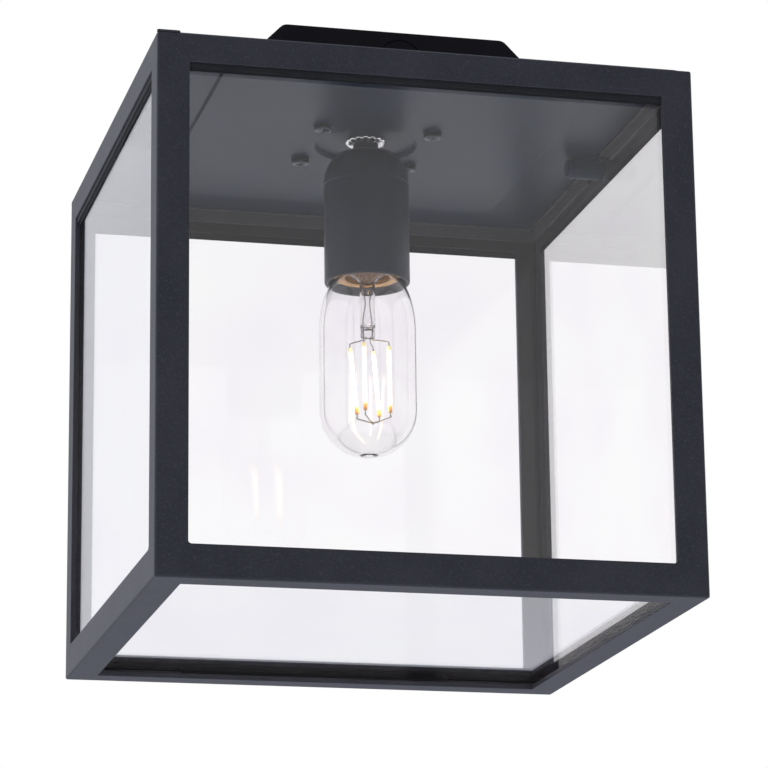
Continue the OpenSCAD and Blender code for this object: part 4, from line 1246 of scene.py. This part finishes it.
@dataclass
class Lamp:
    """The clear lamp: glass, cap, stem, filaments and their wires."""

    glass_r: float = 23.3
    glass_t: float = 0.6
    neck_r: float = 11.45
    neck_top: float = -98.1
    shoulder_h: float = 28.0
    shoulder: float = -131.3
    round_from: float = -169.7
    end_h: float = 23.3
    cap_r: float = 12.7
    cap_top: float = -82.6
    thread_top: float = -83.6
    skirt: float = -98.12
    cap_foot: float = -103.12
    thread: float = 0.9
    pitch: float = 3.63
    stem_r: float = 3.8
    stem_t: float = 0.7
    stem_top: float = -106.4
    pinch: float = -129.6
    lead_from: float = -134.6
    filament_z: float = -138.2
    filament_l: float = 33.5
    filament_r: float = 0.9
    lead_r: float = 0.3
    tip_h: float = 0.9
    tip_r: float = 2.6
    tops: tuple[tuple[float, float], ...] = ((-8, 3.6), (-3.8, -7.6), (4.5, 7.6), (9.5, -3.6))
    feet: tuple[tuple[float, float], ...] = ((-4.8, 3), (-3, -6), (6.8, 6), (9.8, -3.5))
    knot: tuple[float, float, float] = (2.0, 0.0, -176.1)

    def side(self, inset_by: float, steps: int) -> Array:
        """The bulb's half outline, inset_by inside its outer face.

        A neck, a quarter ellipse out to the full width, a straight wall and a round end.

        Args:
            inset_by: distance from the outer face.
            steps: sides of the shoulder's arc, less 8, and half those of the end's.

        Returns:
            Points (k, 2) of radius and level.
        """
        neck, wall = self.neck_r - inset_by, self.glass_r - inset_by
        return drawn((neck, self.neck_top),
                     arc((neck, self.shoulder), (wall - neck, self.shoulder_h - inset_by), 90, 0, steps + 8),
                     np.column_stack([np.full(14, wall), np.linspace(self.shoulder - 3, self.round_from + 3, 14)]),
                     arc((0, self.round_from), (wall, self.end_h - inset_by), 0, -90, 2 * steps))

    def glass(self) -> Surface:
        """The bulb: its outer outline turned about Z and closed by its inner one, with the sealed-off
        drop of glass at the end as a small bump h exp(-r r / w w) on the inner face.

        Returns:
            The closed bulb.
        """
        outer, inner = self.side(0, 20), self.side(self.glass_t, 20)
        near = inner[:, 1] < self.round_from - 10
        inner[:, 1] += np.where(near, self.tip_h * np.exp(-((inner[:, 0] / self.tip_r) ** 2)), 0)
        return spun(drawn(outer, inner[::-1]), 128, wrap=True)

    def cap(self) -> Surface:
        """The brass cap: a rolled thread between a crown and a plain skirt, with a thin wall, turned about Z.

        Returns:
            The closed cap.
        """
        half = self.thread / 2
        level = np.linspace(self.thread_top, self.skirt, 64)
        fade = np.clip(np.minimum(level[0] - level, level - level[-1]) / 2.0, 0, 1) * half
        mean = self.cap_r - half
        plain = self.cap_r - 0.2
        outer = drawn((9.4, self.cap_top), (mean - 0.8, self.cap_top - 0.3),
                      np.column_stack([np.full(64, mean), level]), (plain, self.skirt - 0.6),
                      (plain, self.cap_foot + 0.3), (self.cap_r - 0.4, self.cap_foot))
        inner = drawn((mean - 0.85, self.cap_foot), (mean - 0.85, self.thread_top - 0.3),
                      (9.05, self.cap_top - 0.35))
        wave = np.concatenate([[0, 0], fade, [0, 0, 0], [0, 0, 0]])
        return spun(drawn(outer, inner), 72, wrap=True, wave=(wave, self.pitch))

    def stem(self) -> Surface:
        """The stem: a glass tube that flares to the neck above and is pinched flat below.

        Ring k is an ellipse with half axes a and b at its level; the outer rings run down to the
        pinch's end and the inner ones start again inside the tube.

        Returns:
            The closed stem.
        """
        top, pinch, foot = self.stem_top, self.pinch, self.lead_from
        outer = drawn((10.4, top + 5), (8.6, top + 3.6), (5.2, top + 1.6), (self.stem_r, top - 1),
                      (self.stem_r, pinch + 3), (3.7, pinch + 1.4), (3.5, pinch), (3.4, pinch - 1.5),
                      (3.5, foot + 1), (3.1, foot + 0.2), (1.6, foot), (0, foot))
        deep = np.array([10.4, 8.6, 5.2, self.stem_r, self.stem_r, 2.9, 2.0, 1.7, 1.7, 1.4, 0.7, 0])
        bore = self.stem_r - self.stem_t
        inner = drawn((0, pinch + 1.2), (1.5, pinch + 1.4), (2.6, pinch + 2.6), (bore, pinch + 4),
                      (bore, top - 1), (4.4, top + 1.8), (7.9, top + 4), (9.7, top + 5))
        deep = np.concatenate([deep, [0, 1.0, 2.3, 3.1, 3.1, 4.4, 7.9, 9.7]])
        line = drawn(outer, inner)
        angle = np.linspace(0, FULL, 64, endpoint=False)[None, :]
        rings = np.stack([line[:, :1] * np.cos(angle), deep[:, None] * np.sin(angle), line[:, 1:] + 0 * angle], -1)
        return loft(rings, caps=False, wrap=True)

    def ends(self, i: int) -> tuple[Array, Array]:
        """Top and foot of a filament; its drop is the root of its length's square less its slant's.

        Args:
            i: the filament's number.

        Returns:
            The two points.
        """
        top, foot = np.array(self.tops[i]), np.array(self.feet[i])
        drop = math.sqrt(self.filament_l**2 - float(np.sum((foot - top) ** 2)))
        return np.array([*top, self.filament_z]), np.array([*foot, self.filament_z - drop])

    def wires(self) -> Surface:
        """Nickel wires: two down the stem, four from the pinch to the filaments, and four to the knot below.

        Returns:
            Ten closed rods and the bead that joins the lower four.
        """
        up = np.array([0, 0, 1.5])
        down = [[(s * 6.0, 0, -100), (s * 3.2, 0.4, -107), (s * 1.0, -0.6 * s, -116), (s * 2.1, 0.5, -125),
                 (s * 1.9, 0, self.lead_from + 0.6)] for s in (-1, 1)]
        made = [tube(routed(way), self.lead_r, (0, 1, 0.02), 8) for way in down]
        for i in range(len(self.tops)):
            top, foot = self.ends(i)
            start = np.array([top[0] * 0.25, 0, self.lead_from + 1.0])
            level = np.array([0.9, 0.9, 0])
            over = routed([start, start - (0, 0, 1.3), top * (0.5, 0.5, 0) + (0, 0, self.lead_from - 0.9),
                           top * level + (0, 0, top[2] + 1.9), top + up * 0.8, top - up * 0.3])
            sag = (foot - up + self.knot) / 2 - (0, 0, 0.3)
            under = routed([foot + up * 0.3, foot - up * 0.7, foot - up * 1.3, sag, self.knot])
            made += [tube(over, self.lead_r, (0.3, 0.2, 0.05), 8), tube(under, self.lead_r, (0.31, 0.17, 0.05), 8)]
        bead = spun(arc((0, 0), 0.75, 90, -90, 10), 16).moved(self.knot)
        return joined(made + [bead])

    def build(self, nodes: dict[str, bpy.types.Object], finishes: Finishes) -> None:
        """Makes the lamp's glass, cap, stem, filaments and wires, and dresses its insulator and contact.

        Args:
            nodes: the frame's CAD nodes by name.
            finishes: the lantern's materials.
        """
        make_piece("lamp_glass", self.glass(), finishes.bulb, "lamp", "bulb_glass")
        make_piece("lamp_cap", self.cap(), finishes.brass, "lamp", "bulb_cap")
        make_piece("lamp_stem", self.stem(), finishes.bulb, "lamp", "bulb_stem")
        rods = joined([blunt(*self.ends(i), self.filament_r) for i in range(len(self.tops))])
        make_piece("lamp_filaments", rods, finishes.filament, "lamp", "bulb_filaments")
        make_piece("lamp_wires", self.wires(), finishes.nickel, "lamp", "filament_wires")
        dress(nodes, finishes.vitrite, ["bulb_insulator"])
        dress(nodes, finishes.solder, ["bulb_contact"])


@dataclass
class Cage:
    """Posts and rails of welded steel angle."""

    half: float = 125.0
    thick: float = 2.5
    post_leg: float = 14.8
    corner_r: float = 1.2
    top_face: float = 13.5
    top_flange: float = 8.0
    bottom_face: float = 15.2
    bottom_flange: float = 14.0
    edge: float = 0.5
    catch_notch: float = 5.6
    lap_l: float = 10.6
    lap_w: float = 2.4
    lap_h: float = 1.0
    weld_r: float = 1.1
    flange_edge: float = 0.4
    root_r: float = 0.8

    def flange(self, width: float, low: float, high: float, outer_top: float, outer_low: float) -> Surface:
        """A flat flange of the front side, from mitre to mitre.

        A point at depth d from the outer face stands at half - max(d, r) along both axes, plus
        max(r - d, 0) along the direction of its station on the corner's arc.

        Args:
            width: how far it reaches in.
            low: level of its underside.
            high: level of its top.
            outer_top: radius of its outer upper edge.
            outer_low: radius of its outer lower edge.

        Returns:
            The closed flange, of ten stations.
        """
        e = self.flange_edge
        radii = [max(outer_low, SHARP), e, e, max(outer_top, SHARP)]
        plan = rounded([(0, low), (width, low), (width, high), (0, high)], radii, 4)
        depth, level = plan[:, 0], plan[:, 1]
        angle = np.radians(np.concatenate([np.linspace(225, 270, 5), np.linspace(270, 315, 5)]))
        sign = np.repeat([-1.0, 1.0], 5)
        far = self.half - np.maximum(depth, self.corner_r)
        near = np.maximum(self.corner_r - depth, 0)
        x = sign[:, None] * far + np.cos(angle)[:, None] * near
        y = -far + np.sin(angle)[:, None] * near
        return loft(np.stack([x, y, level + 0 * x], -1))

    def wall(self, low: float, high: float, free_low: bool) -> Surface:
        """The upright leg of a front rail between two posts, its free edge rounded.

        Args:
            low: level of its lower edge.
            high: level of its upper edge.
            free_low: the free edge is the lower one.

        Returns:
            The closed leg.
        """
        out, inner, e = -self.half, self.thick - self.half, self.edge
        radii = [e, e, SHARP, SHARP] if free_low else [SHARP, SHARP, e, e]
        plan = rounded([(out, low), (inner, low), (inner, high), (out, high)], radii, 3)
        reach = self.half - self.post_leg
        ring = np.column_stack([np.zeros(len(plan)), plan])
        return loft(np.stack([ring + (-reach, 0, 0), ring + (reach, 0, 0)]))

    def weld(self, side: int, level: float, up: bool) -> Surface:
        """The small concave fillet where a rail meets a post: a quarter circle left out of a square.

        Args:
            side: -1 for the left post, 1 for the right one.
            level: the rail's edge.
            up: the fillet stands on that edge.

        Returns:
            The closed fillet.
        """
        r, reach = self.weld_r, self.half - self.post_leg
        hollow = arc((r, r), r, 270, 180, 5)
        plan = drawn((-0.02, -0.02), (r, -0.02), hollow[1:-1], (-0.02, r))
        plan = plan * (-side, 1 if up else -1) + (side * reach, level)
        front = np.column_stack([plan[:, 0], np.full(len(plan), 0.02 - self.half), plan[:, 1]])
        return loft(np.stack([front, front + (0, self.thick - 0.04, 0)]))

    def top_rail(self, quarters: int, notched: bool) -> Surface:
        """A top rail; the notched ones leave room in their flange for a catch.

        Args:
            quarters: quarter turns from the front.
            notched: it has a notch.

        Returns:
            Its closed flange and leg.
        """
        top = LEVELS.cage_top
        parts = [self.flange(self.top_flange, top - self.thick, top, 0.8, 0.0),
                 self.wall(top - self.top_face, top - self.thick, True)]
        if notched:
            parts[:1] = self.split_flange(parts[0])
        return joined(parts).turned(quarters)

    def lap(self) -> Surface:
        """The end of the left rail where it stands up over the front corner, blunted like a ground weld."""
        out, top = -self.half, LEVELS.cage_top
        return bar((out, out, top - 0.02), (out + self.lap_l, out + self.lap_w, top + self.lap_h), 0.3, 1.0)

    def split_flange(self, whole: Surface) -> list[Surface]:
        """The flange in three: two ends that stop at the notch, and the narrow strip that stays outside it.

        Args:
            whole: the flange without its notch.

        Returns:
            The three closed pieces.
        """
        rows = whole.points.reshape(10, -1, 3)
        left, right = rows[:5], rows[5:]
        stop = left[-1].copy()
        stop[:, 0] = -self.catch_notch
        start = right[0].copy()
        start[:, 0] = self.catch_notch
        strip = np.clip(rows[4], None, (np.inf, self.thick - self.half, np.inf))
        ends = [strip.copy(), strip.copy()]
        ends[0][:, 0], ends[1][:, 0] = -self.catch_notch, self.catch_notch
        return [loft(np.concatenate([left, stop[None]])), loft(np.concatenate([start[None], right])),
                loft(np.stack(ends))]

    def bottom_rail(self, quarters: int) -> Surface:
        """A bottom rail, with the fillets of its two welds.

        Args:
            quarters: quarter turns from the front.

        Returns:
            Its closed flange, leg and fillets.
        """
        low = LEVELS.cage_bottom
        parts = [self.flange(self.bottom_flange, low, low + self.thick, 0.0, 1.0),
                 self.wall(low + self.thick, low + self.bottom_face, False)]
        parts += [self.weld(side, low + self.bottom_face, True) for side in (-1, 1)]
        return joined(parts).turned(quarters)

    def post(self, quarters: int) -> Surface:
        """A corner post: an L whose free edges are rounded only where the panes are, between the rails.

        Args:
            quarters: quarter turns from the front left corner.

        Returns:
            The closed post.
        """
        out, leg, inner = -self.half, self.post_leg - self.half, self.thick - self.half
        low, high = LEVELS.cage_bottom + self.thick, LEVELS.cage_top - self.thick
        open_low, open_high = LEVELS.cage_bottom + self.bottom_face, LEVELS.cage_top - self.top_face
        levels = [(low, SHARP), (open_low - 0.1, SHARP), (open_low + 0.5, self.edge), (open_high - 0.5, self.edge),
                  (open_high + 0.1, SHARP), (high, SHARP)]
        corners = [(out, out), (leg, out), (leg, inner), (inner, inner), (inner, leg), (out, leg)]
        plans = [(z, rounded(corners, [self.corner_r, e, e, self.root_r, e, e], 4)) for z, e in levels]
        rings = [np.column_stack([plan, np.full(len(plan), z)]) for z, plan in plans]
        return loft(np.stack(rings)).turned(quarters)

    def build(self, nodes: dict[str, bpy.types.Object], finishes: Finishes) -> None:
        """Makes the eight rails and four posts.

        Args:
            nodes: the frame's CAD nodes by name; not used.
            finishes: the lantern's materials.
        """
        for quarters, word in enumerate(("front", "right", "rear", "left")):
            top = self.top_rail(quarters, word in ("left", "right"))
            if word == "left":
                top = joined([top, self.lap()])
            make_piece(f"angle_top_{word}", top, finishes.cage, "cage", f"top_rail_{word}")
            make_piece(f"angle_bottom_{word}", self.bottom_rail(quarters), finishes.cage, "cage",
                       f"bottom_rail_{word}")
        for quarters, word in enumerate(("front_left", "front_right", "rear_right", "rear_left")):
            make_piece(f"angle_post_{word}", self.post(quarters), finishes.cage, "cage",
                       f"corner_post_{word}")


@dataclass
class Glazing:
    """Panes with their seals, beads and pads."""

    wall_in: float = 122.5
    pane_in: float = 119.5
    gap: float = 0.3
    pane_low: float = -273.5
    pane_high: float = -38.2
    floor_low: float = -276.5
    arris: float = 0.35
    notch_r: float = 5.6
    post_in: float = 110.2
    seal_top: float = -46.9
    seal_h: float = 2.6
    seal_t: float = 1.6
    lip_h: float = 1.0
    lip_t: float = 0.5
    bead_t: float = 1.2
    bead_low: float = -41.9
    bead_high: float = -35.9
    bead_gap: float = 38.0
    pad_l: float = 136.0
    pad_w: float = 6.0
    pad_low: float = -278.9

    def side_pane(self, quarters: int, half: float, notched: bool) -> Surface:
        """A side pane with ground edges; a notched one has a U-shaped cut round the catch.

        Args:
            quarters: quarter turns from the front.
            half: half its width.
            notched: it has the cut.

        Returns:
            The closed pane.
        """
        r, low, high = self.notch_r, self.pane_low, self.pane_high
        plan = rounded([(-half, low), (half, low), (half, high), (-half, high)], 1.0, 3)
        if notched:
            cut = drawn((r + 0.3, high), (r, high - 0.3), arc((0, LEVELS.catch), r, 0, -180, 24),
                        (-r, high - 0.3), (-r - 0.3, high))
            plan = np.concatenate([plan[:12], cut, plan[12:]])
        flat = slab(plan, self.pane_in, self.wall_in, self.arris)
        return flat.mapped([(1, 0, 0), (0, 0, 1), (0, -1, 0)]).turned(quarters)

    def floor(self) -> Surface:
        """The floor pane."""
        half = self.wall_in - self.gap
        return bar((-half, -half, self.floor_low), (half, half, self.pane_low), self.arris, 1.2)

    def seals(self) -> Surface:
        """A rubber strip below each top rail, with a thinner lip below it.

        Returns:
            The four closed strips.
        """
        out, top = -self.wall_in, self.seal_top
        mid = top - self.seal_h
        low = mid - self.lip_h
        plan = rounded([(out - self.lip_t, low), (out, low), (out, top), (out - self.seal_t, top),
                        (out - self.seal_t, mid), (out - self.lip_t, mid)], [0.2, SHARP, SHARP, 0.1, 0.4, 0.3], 3)
        ring = np.column_stack([np.zeros(len(plan)), plan])
        strip = loft(np.stack([ring - (self.post_in, 0, 0), ring + (self.post_in, 0, 0)]))
        return joined([strip.turned(q) for q in range(4)])

    def beads(self) -> Surface:
        """Beads inside the panes' top edges; the left and right ones leave a gap at the catch.

        Returns:
            The six closed beads.
        """
        face, inner = self.pane_in, self.pane_in - self.bead_t
        long = bar((-face, -face, self.bead_low), (face, -inner, self.bead_high), 0.3)
        short = bar((self.bead_gap / 2, -face, self.bead_low), (inner - 0.2, -inner, self.bead_high), 0.3)
        mirror = bar((0.2 - inner, -face, self.bead_low), (-self.bead_gap / 2, -inner, self.bead_high), 0.3)
        return joined([long, long.turned(2)] + [s.turned(q) for s in (short, mirror) for q in (1, 3)])

    def pads(self) -> Surface:
        """Rubber pads below the floor pane.

        Returns:
            The four closed pads.
        """
        inner = self.pad_w - self.wall_in
        pad = bar((-self.pad_l / 2, -self.wall_in, self.pad_low), (self.pad_l / 2, inner, self.floor_low), 0.4)
        return joined([pad.turned(q) for q in range(4)])

    def build(self, nodes: dict[str, bpy.types.Object], finishes: Finishes) -> None:
        """Makes the panes, seals, beads and pads.

        Args:
            nodes: the frame's CAD nodes by name; not used.
            finishes: the lantern's materials.
        """
        for quarters, word in enumerate(("front", "right", "rear", "left")):
            wide = word in ("front", "rear")
            half = (self.wall_in if wide else self.pane_in) - self.gap
            glass = finishes.calm_pane if word == "rear" else finishes.pane
            make_piece(f"glass_{word}", self.side_pane(quarters, half, not wide), glass, "cage",
                       f"{word}_pane")
        make_piece("glass_floor", self.floor(), finishes.calm_pane, "cage", "floor_pane")
        make_piece("rubber_seals", self.seals(), finishes.rubber, "cage", "glazing_seals")
        make_piece("steel_beads", self.beads(), finishes.cage, "cage", "glazing_beads")
        make_piece("rubber_pads", self.pads(), finishes.rubber, "cage", "floor_pads")


# ------------------------------------------------------------------ studio


@dataclass
class Studio:
    """Camera, lamps, surroundings and floor; the lamps' places and sizes are in metres."""

    eye: tuple[float, float, float] = (-377.2, -1550.8, -588.7)
    forward: tuple[float, float, float] = (0.2327, 0.9368, 0.2613)
    up: tuple[float, float, float] = (-0.0514, -0.2564, 0.9652)
    lens: float = 162.1
    sensor: float = 36.0
    near: float = 0.05
    far: float = 100.0
    aim: tuple[float, float, float] = (0.0, 0.0, -0.15)
    lamp_size: float = 1.4
    key_at: tuple[float, float, float] = (-2.6, -1.0, -0.1)
    key_power: float = 32.0
    fill_at: tuple[float, float, float] = (2.4, -1.0, -0.6)
    fill_power: float = 14.0
    glow_z: float = -0.152
    glow_r: float = 0.008
    glow_power: float = 0.3
    glow_tint: str = "#ffe2b0"
    room: float = 0.9
    floor_z: float = -2.4
    floor_half: float = 12.0
    sky: str = "#f2f4fd"

    def camera(self) -> None:
        """The camera at the photograph's place; its back, up and right directions are the matrix's columns."""
        data = bpy.data.cameras.new("camera")
        data.lens, data.sensor_width = self.lens, self.sensor
        data.clip_start, data.clip_end = self.near, self.far
        forward = Vector(self.forward).normalized()
        right = forward.cross(Vector(self.up)).normalized()
        up = right.cross(forward)
        turn = Matrix((right, up, -forward)).transposed()
        camera = bpy.data.objects.new("camera", data)
        camera.matrix_world = Matrix.Translation(Vector(self.eye) * MM) @ turn.to_4x4()
        bpy.context.scene.collection.objects.link(camera)
        bpy.context.scene.camera = camera

    def lamp(self, name: str, place: Sequence[float], power: float) -> None:
        """A square soft lamp that looks at the lantern and that no mirror image shows.

        Args:
            name: its name.
            place: where it stands.
            power: its power in watts.
        """
        data = bpy.data.lights.new(name, "AREA")
        data.shape, data.size, data.energy = "SQUARE", self.lamp_size, power
        lamp = bpy.data.objects.new(name, data)
        lamp.location = place
        lamp.rotation_mode = "QUATERNION"
        lamp.visible_glossy = lamp.visible_transmission = False
        lamp.rotation_quaternion = (Vector(self.aim) - Vector(place)).to_track_quat("-Z", "Y")
        bpy.context.scene.collection.objects.link(lamp)

    def glow(self) -> None:
        """The light that the lit filaments throw on what is round them: a small warm sphere in their middle."""
        data = bpy.data.lights.new("glow", "POINT")
        data.energy, data.shadow_soft_size, data.color = self.glow_power, self.glow_r, linear(self.glow_tint)[:3]
        lamp = bpy.data.objects.new("glow", data)
        lamp.location = (0, 0, self.glow_z)
        lamp.visible_camera = lamp.visible_glossy = lamp.visible_transmission = False
        bpy.context.scene.collection.objects.link(lamp)

    def surroundings(self) -> None:
        """White wherever the camera looks straight or through glass; elsewhere a studio that is white
        behind and beside the lantern, dimmer in front of it and dim below it."""
        world = bpy.data.worlds.new("studio")
        world.use_nodes = True
        tree = world.node_tree
        tree.nodes.clear()
        way = put(tree, "ShaderNodeSeparateXYZ", {0: put(tree, "ShaderNodeTexCoord").outputs["Generated"]})
        high = put(tree, "ShaderNodeMapRange", {"Value": way.outputs["Z"], "From Min": -0.18, "From Max": 0.1,
                   "To Min": 0.22, "To Max": 1.0}, interpolation_type="SMOOTHSTEP").outputs["Result"]
        behind = put(tree, "ShaderNodeMapRange", {"Value": way.outputs["Y"], "From Min": -0.9, "From Max": 0.2,
                     "To Min": 0.35, "To Max": 1.0}, interpolation_type="SMOOTHSTEP").outputs["Result"]
        level = put(tree, "ShaderNodeMath", {0: high, 1: behind}, operation="MULTIPLY").outputs[0]
        light = put(tree, "ShaderNodeMix", {"Factor": level, "A": linear("#000000"), "B": linear(self.sky)},
                    data_type="RGBA").outputs["Result"]
        rays = put(tree, "ShaderNodeLightPath").outputs
        plain = put(tree, "ShaderNodeMath", {0: rays["Is Camera Ray"], 1: rays["Is Transmission Ray"]},
                    operation="MAXIMUM").outputs[0]
        room = put(tree, "ShaderNodeBackground", {"Color": light, "Strength": self.room}).outputs[0]
        white = put(tree, "ShaderNodeBackground", {"Color": linear("#ffffff"), "Strength": 1.0}).outputs[0]
        mixed = put(tree, "ShaderNodeMixShader", {0: plain, 1: room, 2: white}).outputs[0]
        put(tree, "ShaderNodeOutputWorld", {"Surface": mixed})
        bpy.context.scene.world = world

    def floor(self) -> None:
        """A pale floor, a porch's height below the ceiling; plain white to the camera, also through glass."""
        size, z = self.floor_half, self.floor_z
        mesh = bpy.data.meshes.new("floor")
        mesh.from_pydata([(-size, -size, z), (size, -size, z), (size, size, z), (-size, size, z)], [], [[0, 1, 2, 3]])
        pale = Coat("pale_floor", "#f1f2fa", "#f4f5fd", 0.8, Grain.MOULDED, 40.0, 0.2, patch_mm=900).material()
        tree = pale.node_tree
        end = next(n for n in tree.nodes if n.type == "OUTPUT_MATERIAL")
        painted = end.inputs["Surface"].links[0].from_socket
        rays = put(tree, "ShaderNodeLightPath").outputs
        plain = put(tree, "ShaderNodeMath", {0: rays["Is Camera Ray"], 1: rays["Is Transmission Ray"]},
                    operation="MAXIMUM").outputs[0]
        white = put(tree, "ShaderNodeEmission", {"Color": linear("#ffffff"), "Strength": 1.0}).outputs[0]
        both = put(tree, "ShaderNodeMixShader", {0: plain, 1: painted, 2: white}).outputs[0]
        tree.links.new(both, end.inputs["Surface"])
        mesh.materials.append(pale)
        floor = bpy.data.objects.new("floor", mesh)
        bpy.context.scene.collection.objects.link(floor)

    def build(self) -> None:
        """Sets up the studio."""
        self.camera()
        self.surroundings()
        self.floor()
        self.lamp("key", self.key_at, self.key_power)
        self.lamp("fill", self.fill_at, self.fill_power)
        self.glow()
        bpy.context.scene.view_settings.view_transform = "Standard"


def corners(box: tuple[Vector, Vector]) -> list[list[float]]:
    """A box's two corners as plain lists."""
    return [list(corner) for corner in box]


def main() -> None:
    """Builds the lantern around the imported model."""
    logging.basicConfig(level=logging.INFO, format="%(message)s")
    for start in list(bpy.data.objects):
        bpy.data.objects.remove(start)
    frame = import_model()
    finishes = Finishes()
    Studio().build()
    for part in (CeilingBase(), Pan(), Lampholder(), Catches(), Lamp(), Cage(), Glazing()):
        part.build(frame["nodes"], finishes)
    bpy.context.view_layer.update()


if __name__ == "__main__":
    main()
